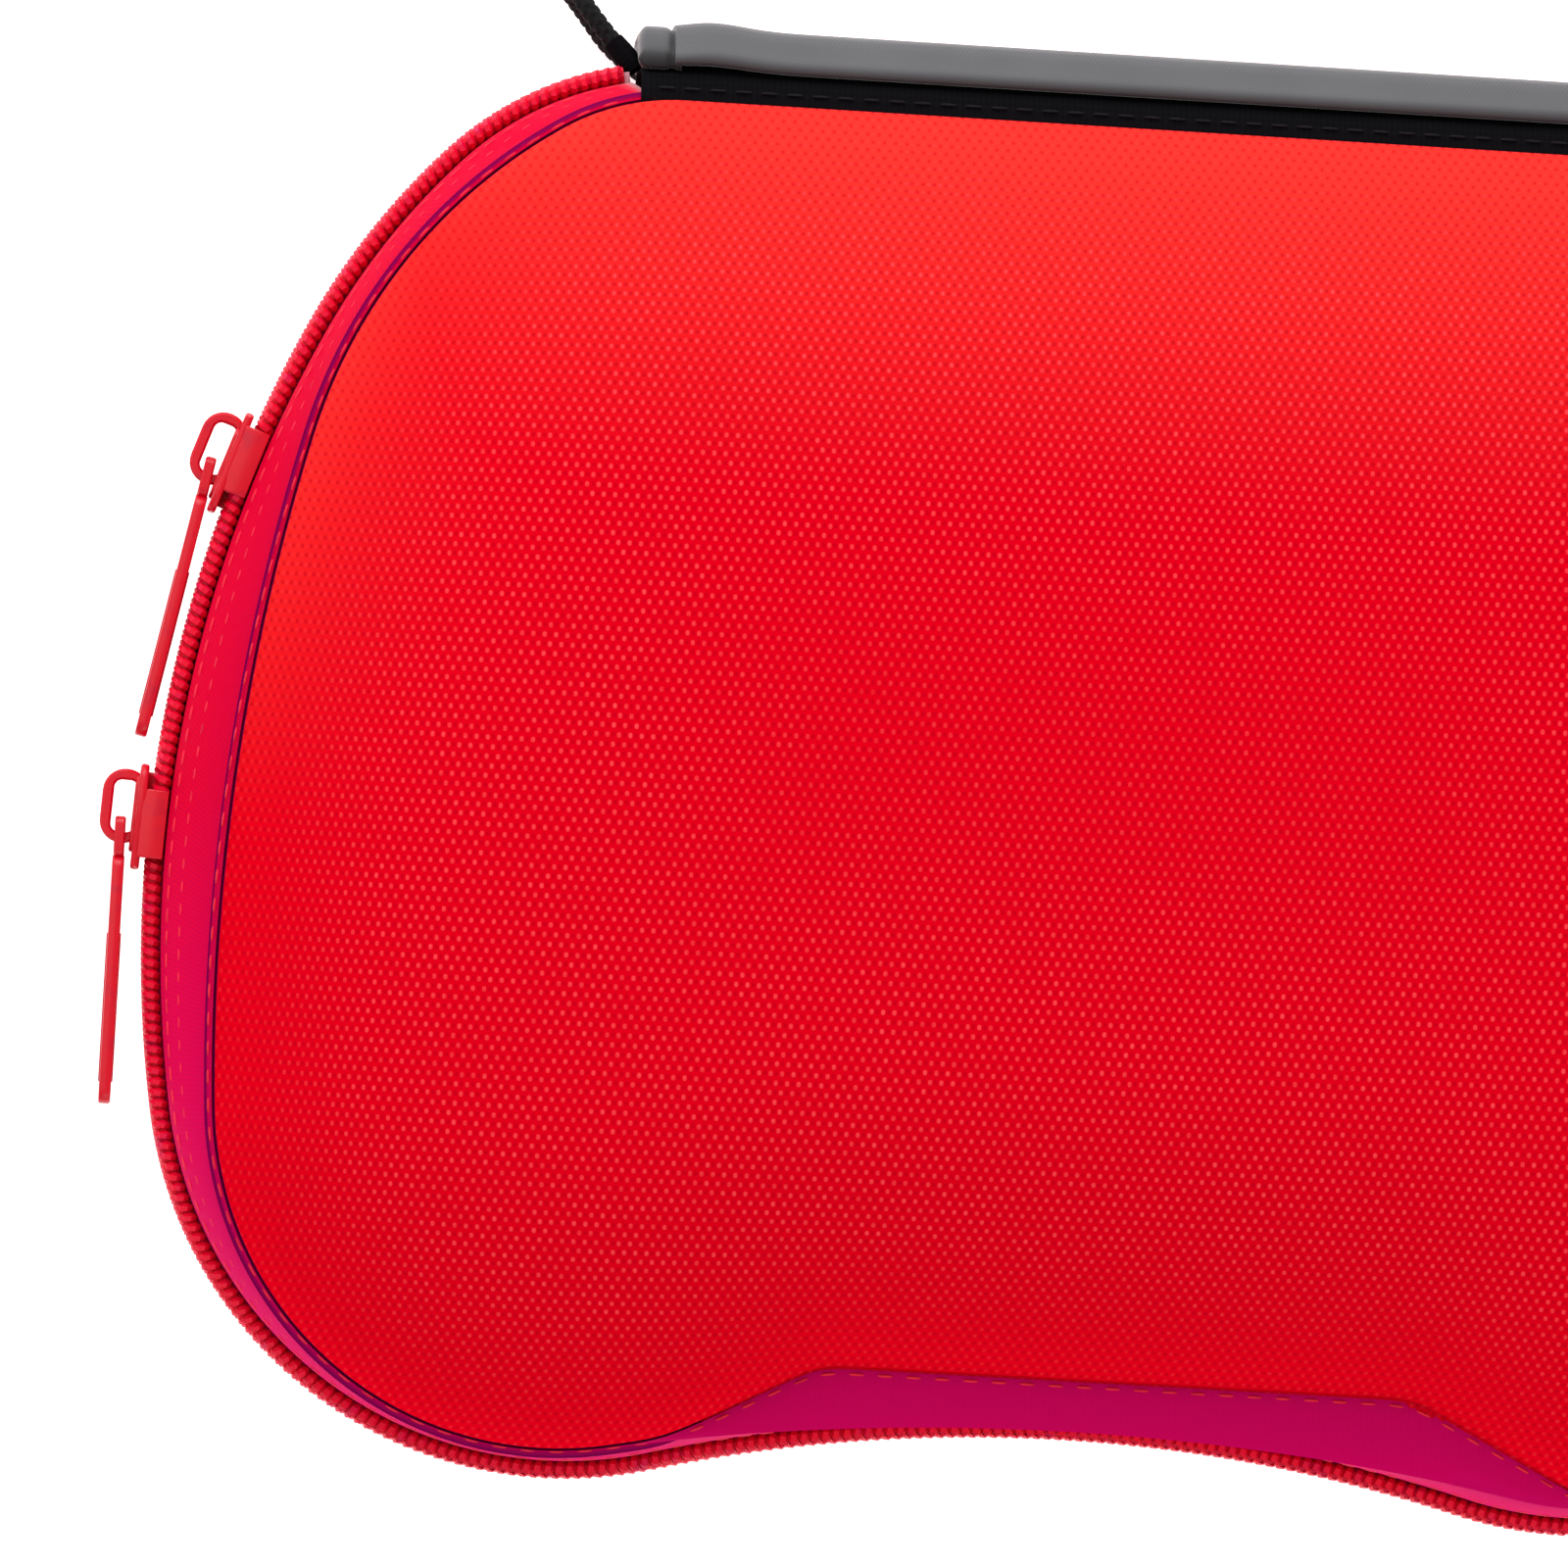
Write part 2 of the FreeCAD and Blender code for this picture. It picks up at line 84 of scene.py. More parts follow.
def joined(parts):
    """Several sets of points and faces as one."""
    points, groups, first = [], {}, 0
    for part_points, sets in parts:
        for faces in sets:
            groups.setdefault(faces.shape[1], []).append(faces + first)
        points.append(part_points)
        first += len(part_points)
    return np.concatenate(points), [np.concatenate(group) for group in groups.values()]


def turned_out(points, sets):
    """Turn one closed part's faces outwards before it is joined to others."""
    if signed_volume(points, sets) < 0:
        sets = [faces[:, ::-1] for faces in sets]
    return points, sets


def make_piece(name, points, face_sets, finish, uv=None, closed=True, marks=None, sharp=40):
    """An object at the origin from points in millimetres; closed forms are turned outwards."""
    points = np.asarray(points, float)
    face_sets = [np.asarray(faces) for faces in face_sets if len(faces)]
    if closed and signed_volume(points, face_sets) < 0:
        face_sets = [faces[:, ::-1] for faces in face_sets]
    mesh = bpy.data.meshes.new(name)
    loops = np.concatenate([faces.reshape(-1) for faces in face_sets])
    sizes = np.concatenate([np.full(len(faces), faces.shape[1]) for faces in face_sets])
    mesh.vertices.add(len(points))
    mesh.vertices.foreach_set("co", (points * MM).astype(np.float32).reshape(-1))
    mesh.loops.add(len(loops))
    mesh.loops.foreach_set("vertex_index", loops.astype(np.int32))
    mesh.polygons.add(len(sizes))
    starts = np.concatenate([[0], np.cumsum(sizes)[:-1]])
    mesh.polygons.foreach_set("loop_start", starts.astype(np.int32))
    mesh.update(calc_edges=True)
    mesh.polygons.foreach_set("use_smooth", np.ones(len(sizes), bool))
    if uv is not None:
        layer = mesh.uv_layers.new(name="UVMap")
        layer.data.foreach_set("uv", np.asarray(uv, np.float32)[loops].reshape(-1))
    for mark, values in (marks or {}).items():
        attribute = mesh.attributes.new(mark, "FLOAT", "POINT")
        attribute.data.foreach_set("value", np.asarray(values, np.float32))
    mesh.set_sharp_from_angle(angle=math.radians(sharp))
    mesh.materials.append(finish)
    piece = bpy.data.objects.new(name, mesh)
    bpy.context.scene.collection.objects.link(piece)
    return piece


def thicken(piece, thickness, offset=-1.0):
    """Give a sheet its thickness in millimetres, inwards by default, and close its edges."""
    solidify = piece.modifiers.new("thickness", "SOLIDIFY")
    solidify.thickness = thickness * MM
    solidify.offset = offset
    solidify.use_even_offset = False


def smooth(share):
    """0 to 1 with no corner at either end."""
    return share * share * (3 - 2 * share)


# %% [markdown]
# ## The camera
# The camera looks straight down on the lid through a long lens. The case is turned a little
# in the frame and cropped on the right.

# %% Camera
ROLL = 3.4                  # degrees that the case is turned clockwise in the frame
YAW = 3.0                   # degrees that the camera stands to the left
FRAME_WIDTH = 160.0         # width of the view at the zip, in millimetres
AIM = np.array([-31.9, -0.8, 36.0])
DISTANCE = 1300.0


def place_camera():
    """Camera that looks at AIM from above, with its up direction turned by ROLL."""
    data = bpy.data.cameras.new("camera")
    camera = bpy.data.objects.new("camera", data)
    bpy.context.scene.collection.objects.link(camera)
    yaw, roll = math.radians(YAW), math.radians(ROLL)
    back = np.array([-math.sin(yaw), 0.0, math.cos(yaw)])
    up = np.array([-math.sin(roll), math.cos(roll), 0.0])
    right = np.cross(up, back)
    right /= np.linalg.norm(right)
    up = np.cross(back, right)
    matrix = np.eye(4)
    matrix[:3, 0], matrix[:3, 1], matrix[:3, 2] = right, up, back
    matrix[:3, 3] = (AIM + back * DISTANCE) * MM
    camera.matrix_world = Matrix(matrix.tolist())
    data.sensor_width = 36.0
    data.lens = data.sensor_width * DISTANCE / FRAME_WIDTH
    data.clip_end = 10.0
    bpy.context.scene.camera = camera


place_camera()

# %% [markdown]
# ## Shader maths as Python
# A node graph reads better as a formula. `Value` wraps one socket, so `a * b + 1` adds the
# Math nodes by itself, and `Finish.node` makes any other node in one call.

# %% Shader helpers
class Value:
    """One socket of a finish. Operators on it add Math nodes."""

    def __init__(self, finish, socket):
        self.finish = finish
        self.socket = socket

    def maths(self, operation, *others):
        inputs = {0: self}
        inputs.update({slot + 1: other for slot, other in enumerate(others)})
        return self.finish.node("ShaderNodeMath", {"operation": operation}, inputs)

    def __add__(self, other):
        return self.maths("ADD", other)

    def __mul__(self, other):
        return self.maths("MULTIPLY", other)

    def __sub__(self, other):
        return self.maths("SUBTRACT", other)

    def __rsub__(self, other):
        return self.maths("MULTIPLY", -1.0) + other

    __radd__ = __add__
    __rmul__ = __mul__

    def ramp(self, low, high):
        """0 below low, 1 above high, smooth between."""
        return self.finish.node("ShaderNodeMapRange", {"interpolation_type": "SMOOTHSTEP"},
                                {"Value": self, "From Min": low, "From Max": high})


class Finish:
    """A material made of one Principled shader and the nodes that feed it."""

    def __init__(self, name):
        self.material = bpy.data.materials.new(name)
        self.material.use_nodes = True
        self.tree = self.material.node_tree
        self.tree.nodes.clear()
        self.output = self.tree.nodes.new("ShaderNodeOutputMaterial")

    def node(self, kind, settings=None, inputs=None, output=0):
        """Add a node: its settings, then its inputs by name or number; gives an output."""
        node = self.tree.nodes.new(kind)
        for key, value in (settings or {}).items():
            setattr(node, key, value)
        for key, value in (inputs or {}).items():
            if isinstance(value, Value):
                self.tree.links.new(value.socket, node.inputs[key])
            else:
                node.inputs[key].default_value = value
        return Value(self, node.outputs[output])

    def mix(self, factor, first, second):
        """Blend two colours."""
        return self.node("ShaderNodeMix", {"data_type": "RGBA"}, {0: factor, 6: first, 7: second}, 2)

    def uv(self):
        """The two coordinates of the piece's own UV map."""
        vector = self.node("ShaderNodeUVMap", {"uv_map": "UVMap"})
        inputs = {0: vector}
        return [self.node("ShaderNodeSeparateXYZ", None, inputs, axis) for axis in (0, 1)]

    def noise(self, scale, detail=2.0):
        """Soft noise on Object coordinates, whose grain is 1/scale millimetres."""
        spot = self.node("ShaderNodeTexCoord", None, None, 3)
        place = self.node("ShaderNodeVectorMath", {"operation": "SCALE"}, {0: spot, 3: 1 / MM})
        return self.node("ShaderNodeTexNoise", None,
                         {"Vector": place, "Scale": scale, "Detail": detail})

    def mark(self, name):
        """A value stored on the piece's points."""
        return self.node("ShaderNodeAttribute", {"attribute_name": name}, None, "Fac")

    def bump(self, height, depth, strength=1.0):
        """Surface relief: height in 0..1 stands for depth millimetres."""
        return self.node("ShaderNodeBump", None,
                         {"Height": height, "Distance": depth * MM, "Strength": strength})

    def surface(self, **inputs):
        """Close the finish with one Principled shader."""
        named = {key.replace("_", " "): value for key, value in inputs.items()}
        shader = self.node("ShaderNodeBsdfPrincipled", None, named)
        self.tree.links.new(shader.socket, self.output.inputs[0])
        return self.material


def colour(red, green, blue):
    """A screen colour from 0 to 255 as the linear colour that shaders use."""
    parts = [value / 255 for value in (red, green, blue)]
    linear = [p / 12.92 if p <= 0.04045 else ((p + 0.055) / 1.055) ** 2.4 for p in parts]
    return (*linear, 1.0)


# %% [markdown]
# ## The red plain weave
# The shells are covered with a coarse polyester cloth in plain weave: each thread goes over
# one and under the next, so every second crossing shows a short float that catches light.
# The product of two cosines, one across the warp and one across the weft, is positive on
# exactly those crossings. The UV map counts threads along the curved cloth, so the weave
# tightens where the dome turns away, as cloth pressed over a mould does.

# %% Red fabric
RED = colour(226, 0, 26)
RED_PAINTED_HIGHLIGHT = colour(255, 56, 48)
RED_FLOAT_HIGHLIGHT = colour(255, 74, 80)
RED_GAP_SHADE = colour(172, 0, 24)
CREASE_SHADE = colour(112, 0, 84)


def weave(finish):
    """Relief of a plain weave: 1 on a float, 0 between; UV units are threads."""
    across, along = finish.uv()
    over = (along * math.pi).maths("COSINE")
    wave = (across * math.pi).maths("COSINE") * over * over.maths("ABSOLUTE")
    return wave * 0.5 + 0.5


def red_fabric():
    """Woven cover of the shells: each float carries a painted highlight, weaker near the foot and in
    the middle.
    """
    finish = Finish("red_fabric")
    relief = weave(finish)
    uneven = finish.noise(0.3, 3.0)
    single = finish.noise(1.1, 1.0).ramp(0.3, 0.7)
    # painted highlight on each float of the weave
    float_highlight_share = finish.mark("float_highlight_share")
    float_highlight = relief.ramp(0.58, 0.88) * (0.15 + uneven * 0.6 + single * 0.35) * float_highlight_share
    # painted highlight: paler and more orange towards the hinge side and the upper left
    shade = finish.mix(finish.mark("painted_highlight"), RED, RED_PAINTED_HIGHLIGHT)
    shade = finish.mix(float_highlight, shade, RED_FLOAT_HIGHLIGHT)
    # painted shade between the threads, where the weave sinks
    shade = finish.mix((1.0 - relief.ramp(0.0, 0.45)) * 0.5, shade, RED_GAP_SHADE)
    # painted shade in the crease at the dome's foot
    shade = finish.mix(finish.mark("crease_shade"), shade, CREASE_SHADE)
    normal = finish.bump(relief + finish.noise(6.0) * 0.25, 0.16, 0.5)
    return finish.surface(Base_Color=shade, Roughness=0.66 - float_highlight * 0.2, Normal=normal,
                          Specular_IOR_Level=0.0)


RED_FABRIC = red_fabric()

# %% [markdown]
# ## The other finishes
# Woven tape has fine ribs across its length. Black webbing, elastic and knitted mesh differ
# by the scale and shape of their relief, so each has its own short function and reads the
# same UV map, in millimetres along and across the piece.

# %% Tape, coil, thread and enamel
MAGENTA_SHADE = colour(226, 0, 100)


def ribbed(name, base, valley_shade, pitch, depth, rough=0.6, sheen=0.0, along_ribs=0.0):
    """A woven band with ribs every pitch millimetres along it, and a few across; its darker colour
    goes into the rib valleys as painted shade and into soft random patches.
    """
    finish = Finish(name)
    along, across = finish.uv()
    ribs = (along * (2 * math.pi / pitch)).maths("SINE") * 0.5 + 0.5
    lines = (across * (2 * math.pi / (pitch * 1.6))).maths("SINE") * 0.5 + 0.5
    relief = ribs * (1.0 - along_ribs) + lines * along_ribs
    soft = finish.noise(1.2, 3.0)
    # painted shade in the rib valleys, with soft random patches
    shade = finish.mix((1.0 - relief) * 0.5 + soft * 0.25, base, valley_shade)
    # painted shade: the tape turns magenta towards the front of the case
    shade = finish.mix(finish.mark("front_shade"), shade, MAGENTA_SHADE)
    # painted shade under the coil and in the groove at the dome's foot
    shade = finish.mix(finish.mark("crease_shade"), shade, CREASE_SHADE)
    shade = finish.mix(finish.mark("frayed"), shade, colour(246, 190, 196))
    normal = finish.bump(relief + soft * 0.5, depth, 0.5)
    return finish.surface(Base_Color=shade, Roughness=rough, Normal=normal,
                          Sheen_Weight=sheen, Sheen_Roughness=0.5, Specular_IOR_Level=0.03)


def plain(name, base, rough, grain=0.0, worn=None, **more):
    """A smooth finish with a fine grain; worn is a second colour in soft patches."""
    finish = Finish(name)
    patches = finish.noise(0.5, 4.0)
    shade = finish.mix(patches.ramp(0.5, 0.75), base, worn or base)
    fine = finish.noise(4.0, 3.0)
    return finish.surface(Base_Color=shade, Roughness=fine * 0.12 + (rough - 0.06),
                          Normal=finish.bump(fine, grain, 0.5), Specular_IOR_Level=0.25, **more)


RED_TAPE = ribbed("red_tape", colour(232, 0, 42), colour(206, 0, 62), 0.55, 0.03)
RED_COIL = plain("red_coil", colour(240, 0, 52), 0.5, 0.01, colour(222, 0, 76))
RED_ENAMEL = plain("red_enamel", colour(214, 0, 34), 0.3, 0.02, colour(196, 0, 40),
                   Coat_Weight=0.15, Coat_Roughness=0.2)
RED_THREAD = plain("red_thread", colour(240, 36, 66), 0.6, 0.02, colour(212, 10, 60))

# %% Black cloths
BLACK = colour(17, 16, 19)
BLACK_FABRIC = ribbed("black_fabric", BLACK, colour(7, 6, 8), 0.6, 0.06, 0.8, 0.0, 0.5)
BLACK_ELASTIC = ribbed("black_elastic", colour(34, 33, 36), colour(10, 10, 12), 1.1, 0.15, 0.8)
BLACK_THREAD = plain("black_thread", colour(18, 17, 20), 0.8, 0.02)
LINING = ribbed("lining", colour(40, 39, 43), colour(24, 23, 26), 0.9, 0.04, 0.85, 0.3, 0.5)


def strap_fabric():
    """Smooth knitted cover of the strap: dark grey with a soft sheen where it turns, and painted
    shade on the side towards the spine.
    """
    finish = Finish("strap_fabric")
    along, across = finish.uv()
    knit = (along * (2 * math.pi / 0.45)).maths("SINE") * (across * (2 * math.pi / 0.6)).maths("SINE")
    soft = finish.noise(0.12, 2.0)
    shade = finish.mix(soft, colour(80, 79, 82), colour(90, 89, 92))
    shade = finish.mix(finish.mark("spine_side_shade"), shade, colour(14, 13, 16))
    normal = finish.bump(knit * 0.5 + soft, 0.05, 0.4)
    return finish.surface(Base_Color=shade, Roughness=0.58, Normal=normal, Sheen_Weight=0.5,
                          Sheen_Roughness=0.35, Specular_IOR_Level=0.4)


def mesh_net():
    """Knitted net: open diamonds between two families of slanted threads."""
    finish = Finish("black_mesh")
    along, across = finish.uv()
    lean = math.pi / 1.5
    one = ((along + across) * lean).maths("SINE").maths("ABSOLUTE")
    two = ((along - across) * lean).maths("SINE").maths("ABSOLUTE")
    hole = one.ramp(0.34, 0.5) * two.ramp(0.34, 0.5)
    return finish.surface(Base_Color=colour(22, 21, 24), Roughness=0.7, Alpha=1.0 - hole,
                          Normal=finish.bump(one * two * -1.0 + 1.0, 0.2, 0.6))


STRAP_FABRIC = strap_fabric()
BLACK_MESH = mesh_net()

# %% [markdown]
# ## The outlines
# Seen from above, the zip follows a closed chain of tangent arcs: a hollow notch at the
# front, a round lobe, a long side arc that leans in, and a shoulder and corner that lead to
# the straight hinge edge. The dome's foot is a smaller chain of the same kind. An arc that
# keeps its centre and changes its radius is the same outline drawn in by that much.

# %% Outlines as arcs
ZIP = dict(x_max=96.7, r_side=132.0, y_side=-14.7, low=-10.0, r_lobe=43.0,
           y_notch=-66.3, up=26.0, r_shoulder=73.5, bend=44.0, r_corner=33.7)
FOOT = dict(x_max=88.5, r_side=220.0, y_side=-21.5, low=-4.0, r_lobe=35.0,
            y_notch=-64.5, up=14.0, r_shoulder=54.0, bend=57.5, r_corner=22.8)
ARC_STEPS = (44, 70, 60, 44, 26)        # points along each arc, from the notch to the top
TOP_STEPS = 40                          # points along the hinge edge


def unit(degrees):
    """Unit vectors at angles in degrees."""
    angle = np.radians(degrees)
    return np.stack([np.cos(angle), np.sin(angle)], axis=-1)


def arcs(shape):
    """Centre, radius and end angles of each right-hand arc, from the notch to the top."""
    side = np.array([shape["x_max"] - shape["r_side"], shape["y_side"]])
    lobe = side + unit(shape["low"]) * (shape["r_side"] - shape["r_lobe"])
    r_lobe = shape["r_lobe"]
    drop = lobe[1] - shape["y_notch"]
    r_notch = (lobe[0] ** 2 + drop ** 2 - r_lobe ** 2) / (2 * (r_lobe - drop))
    notch = np.array([0.0, shape["y_notch"] - r_notch])
    meet = math.degrees(math.atan2(lobe[1] - notch[1], lobe[0]))
    shoulder = side + unit(shape["up"]) * (shape["r_side"] - shape["r_shoulder"])
    corner = shoulder + unit(shape["bend"]) * (shape["r_shoulder"] - shape["r_corner"])
    return [(notch, -r_notch, 90, meet), (lobe, r_lobe, meet - 180, shape["low"]),
            (side, shape["r_side"], shape["low"], shape["up"]),
            (shoulder, shape["r_shoulder"], shape["up"], shape["bend"]),
            (corner, shape["r_corner"], shape["bend"], 90)]


def open_outline(shape, inset):
    """Points from the left end of the hinge edge, round the front, to its right end."""
    parts = []
    for steps, (centre, radius, start, end) in zip(ARC_STEPS, arcs(shape)):
        turn = np.linspace(start, end, steps, endpoint=False)
        parts.append(centre + unit(turn) * abs(radius - inset))
    parts.append((centre + unit(90) * (radius - inset))[None])
    right = np.concatenate(parts)
    return np.concatenate([right[:0:-1] * [-1, 1], right])


def outline(shape, inset):
    """Closed ring: the open outline and the straight hinge edge."""
    ring = open_outline(shape, inset)
    share = np.linspace(0, 1, TOP_STEPS + 2)[1:-1, None]
    return np.concatenate([ring, ring[-1] * (1 - share) + ring[0] * share])


RING = len(outline(ZIP, 0))
print("points in each ring", RING)

# %% [markdown]
# At the front the dome's foot steps back to a flat ledge between two slanted cheeks. The
# ledge is a line with a soft bend at each end: a softplus is flat on one side, slopes on
# the other, and rounds the corner between them.

# %% The ledge at the front
LEDGE_Y = -59.4
LEDGE_X = (-25.3, 35.3)
CHEEK_SLOPE = (0.54, 0.50)
CORNER_SOFT = 0.9


def softplus(value, soft):
    """Zero below zero, the value itself above it, rounded over about soft."""
    return soft * np.logaddexp(0, value / soft)


def ledge_line(x):
    """Height in the plan of the ledge and its cheeks at x."""
    left = CHEEK_SLOPE[0] * softplus(LEDGE_X[0] - x, CORNER_SOFT)
    right = CHEEK_SLOPE[1] * softplus(x - LEDGE_X[1], CORNER_SOFT)
    return LEDGE_Y - left - right


def with_ledge(ring, inset=0.0):
    """Move the front of a ring back to the ledge, where that lies further in."""
    line = ledge_line(ring[:, 0]) + inset
    moved = ring[:, 1] + softplus(line - ring[:, 1], 0.5)
    return np.stack([ring[:, 0], np.where(ring[:, 1] < -50, moved, ring[:, 1])], axis=-1)


DOME_FOOT = with_ledge(outline(FOOT, 0))
LEDGE_WIDE = 2.0            # where the ledge is this wide, the wall under it is fully thinned
LEDGE_PART = np.clip((DOME_FOOT[:, 1] - outline(FOOT, 0)[:, 1]) / LEDGE_WIDE, 0, 1)
LEDGE_PART = smooth(LEDGE_PART)

# %% [markdown]
# ## The domes
# Each half is foam and cloth pressed into a pillow: steep at its foot, flat in the middle.
# Across the edge the height follows a quarter of an ellipse, 32 mm wide. The lid also falls
# away gently towards the hinge, so its height there is less. Where two edges come near each
# other an exact distance leaves a faint ridge, so the middle of the height map is blurred.

# %% Height maps
EDGE_WIDTH = 32.0
GRID_STEP = 0.75
BLUR = 3.5                  # millimetres
PARTING_Z = 34.0
FOOT_RISE = 10.0


def distance_inside(points, ring):
    """Distance from each point to the nearest edge of a closed ring."""
    start = ring
    edge = np.roll(ring, -1, axis=0) - start
    length = (edge ** 2).sum(1) + 1e-9
    out = np.empty(len(points))
    for low in range(0, len(points), 4000):
        part = points[low:low + 4000, None] - start
        share = np.clip((part * edge).sum(2) / length, 0, 1)
        gap = part - share[..., None] * edge
        out[low:low + 4000] = np.sqrt((gap ** 2).sum(2).min(1))
    return out


def edge_profile(distance):
    """Quarter ellipse: 0 at the foot, 1 from EDGE_WIDTH inwards."""
    share = np.clip(distance / EDGE_WIDTH, 0, 1)
    return np.sqrt(1 - (1 - share) ** 2)


class Dome:
    """One half's outer surface: its height over the plan and the cloth's own coordinates."""

    def __init__(self, height, crown_radius, crown_y):
        self.height, self.crown_radius, self.crown_y = height, crown_radius, crown_y
        self.x = np.arange(-90, 90 + GRID_STEP, GRID_STEP)
        self.y = np.arange(-72, 70 + GRID_STEP, GRID_STEP)
        plan = np.stack(np.meshgrid(self.x, self.y), axis=-1).reshape(-1, 2)
        inside = self.is_inside(plan)
        distance = np.zeros(len(plan))
        distance[inside] = distance_inside(plan[inside], DOME_FOOT)
        raw = self.exact(distance, plan[:, 1]).reshape(len(self.y), len(self.x))
        self.soft = self.blurred(raw)
        self.cloth_maps()

    def is_inside(self, plan):
        """Even-odd test against the dome's foot."""
        ends = np.roll(DOME_FOOT, -1, axis=0)
        inside = np.zeros(len(plan), bool)
        for (x0, y0), (x1, y1) in zip(DOME_FOOT, ends):
            if y0 != y1:
                crosses = (y0 > plan[:, 1]) != (y1 > plan[:, 1])
                inside ^= crosses & (plan[:, 0] < (x1 - x0) * (plan[:, 1] - y0) / (y1 - y0) + x0)
        return inside

    def exact(self, distance, y):
        """Height over the foot: the edge's profile times the crown's height at y."""
        fall = (y - self.crown_y) ** 2 / (2 * self.crown_radius)
        return edge_profile(distance) * (self.height - fall)

    def blurred(self, heights):
        """Gaussian blur, row by row and then column by column."""
        reach = np.arange(-12, 13) * GRID_STEP
        kernel = np.exp(-0.5 * (reach / BLUR) ** 2)
        kernel /= kernel.sum()
        edge = len(reach) // 2
        wide = np.pad(heights, edge, mode="reflect", reflect_type="odd")
        rows = np.apply_along_axis(np.convolve, 1, wide, kernel, "valid")
        return np.apply_along_axis(np.convolve, 0, rows, kernel, "valid")

    def blend_share(self, distance):
        """How much of the blurred height is used: none near the foot."""
        return smooth(np.clip((distance - 6) / 12, 0, 1))

    def cloth_maps(self):
        """Length of cloth from the middle to each place, along X and along Y.
        The slopes are those of a height map blurred twice more, so threads don't kink."""
        heights = self.blurred(self.blurred(self.soft))
        slope_y, slope_x = np.gradient(heights, GRID_STEP)
        run_x = np.sqrt(1 + np.clip(slope_x, -0.9, 0.9) ** 2) * GRID_STEP
        run_y = np.sqrt(1 + np.clip(slope_y, -0.9, 0.9) ** 2) * GRID_STEP
        self.cloth_x = np.cumsum(run_x, axis=1)
        self.cloth_x -= self.cloth_x[:, [len(self.x) // 2]]
        self.cloth_y = np.cumsum(run_y, axis=0)
        self.cloth_y -= self.cloth_y[[len(self.y) // 2], :]
        self.cloth_x = self.blurred(self.cloth_x)
        self.cloth_y = self.blurred(self.cloth_y)

    def sample(self, grid, points):
        """Bilinear reading of a map at points of the plan."""
        col = np.clip((points[:, 0] - self.x[0]) / GRID_STEP, 0, len(self.x) - 1.001)
        row = np.clip((points[:, 1] - self.y[0]) / GRID_STEP, 0, len(self.y) - 1.001)
        c, r = col.astype(int), row.astype(int)
        fc, fr = col - c, row - r
        top = grid[r, c] * (1 - fc) + grid[r, c + 1] * fc
        low = grid[r + 1, c] * (1 - fc) + grid[r + 1, c + 1] * fc
        return top * (1 - fr) + low * fr

    def heights(self, points, distance, depth=0.0):
        """Height over the foot at points; depth sinks it for an inner surface."""
        exact = self.exact(np.clip(distance - depth, 0, None), points[:, 1])
        share = self.blend_share(distance)
        mixed = exact * (1 - share) + self.sample(self.soft, points) * share
        return mixed - depth * edge_profile(np.clip(distance - depth, 0, None))


LID_DOME = Dome(22.0, 260.0, -15.0)
BASE_DOME = Dome(24.0, 1e9, 0.0)
print("lid crown", round(float(LID_DOME.soft.max()), 2))

# %% [markdown]
# ## Shells and linings
# A dome is drawn as rings that shrink towards one pole in the middle, closer together near
# the foot where the wall is steep. Below the foot the rim goes back and down behind the zip
# tape to the raw edge. An outer and an inner surface joined at that edge make a closed
# shell. The lining is the same form again, a little deeper and thin.

# %% Shell surfaces
RINGS = 60
WARP_PITCH = 0.57
WEFT_PITCH = 0.966
KNEE_RISE = 4.9             # where the tape leaves the upright, above the parting plane
TUCK = 0.65                 # how far under the dome's foot the tape's slope ends
TAPE_PUFF = 0.35            # how much the tape bulges in the middle of its slope
EDGE_RISE = 5.5             # the shell's raw edge
SHELL_T = 4.5
LINING_T = 0.8
LINING_GAP = 0.3
LEDGE_SHARE = 0.5           # the wall under the ledge is this part as thick as the dome's
LIP_INSET = 1.4


def rim_ring(depth, rise):
    """Ring of the rim at heights over the parting plane: the zip's outline turning into
    the foot's, depth behind the shell's outer face."""
    rise = np.zeros(RING) + rise
    share = np.clip((rise - KNEE_RISE) / (FOOT_RISE - 0.6 - KNEE_RISE), 0, 1)[:, None]
    flat = outline(ZIP, 3.6 + depth) * (1 - share) + outline(FOOT, 1.4 + depth) * share
    return np.column_stack([flat, rise])


def rim_top(depth):
    """Height at which the rim ends under the dome's foot: lower under the ledge, by
    LEDGE_SHARE of the depth."""
    return FOOT_RISE - 0.6 - LEDGE_SHARE * depth * LEDGE_PART


def drawn_in(ring, depth):
    """A ring pulled towards the middle by depth."""
    radius = np.linalg.norm(ring, axis=1, keepdims=True)
    return ring * (1 - depth / radius)


def dome_rings(dome, depth):
    """Rings over the dome from its foot to the ring next to the pole, and the pole."""
    foot = drawn_in(DOME_FOOT, depth)
    shrink = (1 - (np.arange(RINGS) / RINGS) ** 1.8)[:, None, None]
    plan = (foot[None] * shrink).reshape(-1, 2)
    plan = np.concatenate([plan, [[0.0, 0.0]]])
    distance = distance_inside(plan, DOME_FOOT)
    rise = FOOT_RISE + dome.heights(plan, distance, depth)
    return np.column_stack([plan, rise]), distance


def skin(dome, depth):
    """Rim and dome of one surface, as rows of RING points and one pole."""
    top = rim_top(depth)
    lip = np.column_stack([drawn_in(DOME_FOOT, LIP_INSET + depth), top + 0.3])
    rises = (EDGE_RISE, (EDGE_RISE + top) / 2, top)
    rim = [rim_ring(depth, rise) for rise in rises] + [lip]
    over, distance = dome_rings(dome, depth)
    points = np.concatenate(rim + [over])
    distance = np.concatenate([np.zeros(RING * len(rim)), distance])
    rows = (len(points) - 1) // RING
    faces = grid_faces(rows, RING, wrap=True)
    last = (rows - 1) * RING + np.arange(RING)
    cap = np.stack([last, np.roll(last, -1), np.full(RING, len(points) - 1)], axis=-1)
    return points, faces, cap, distance


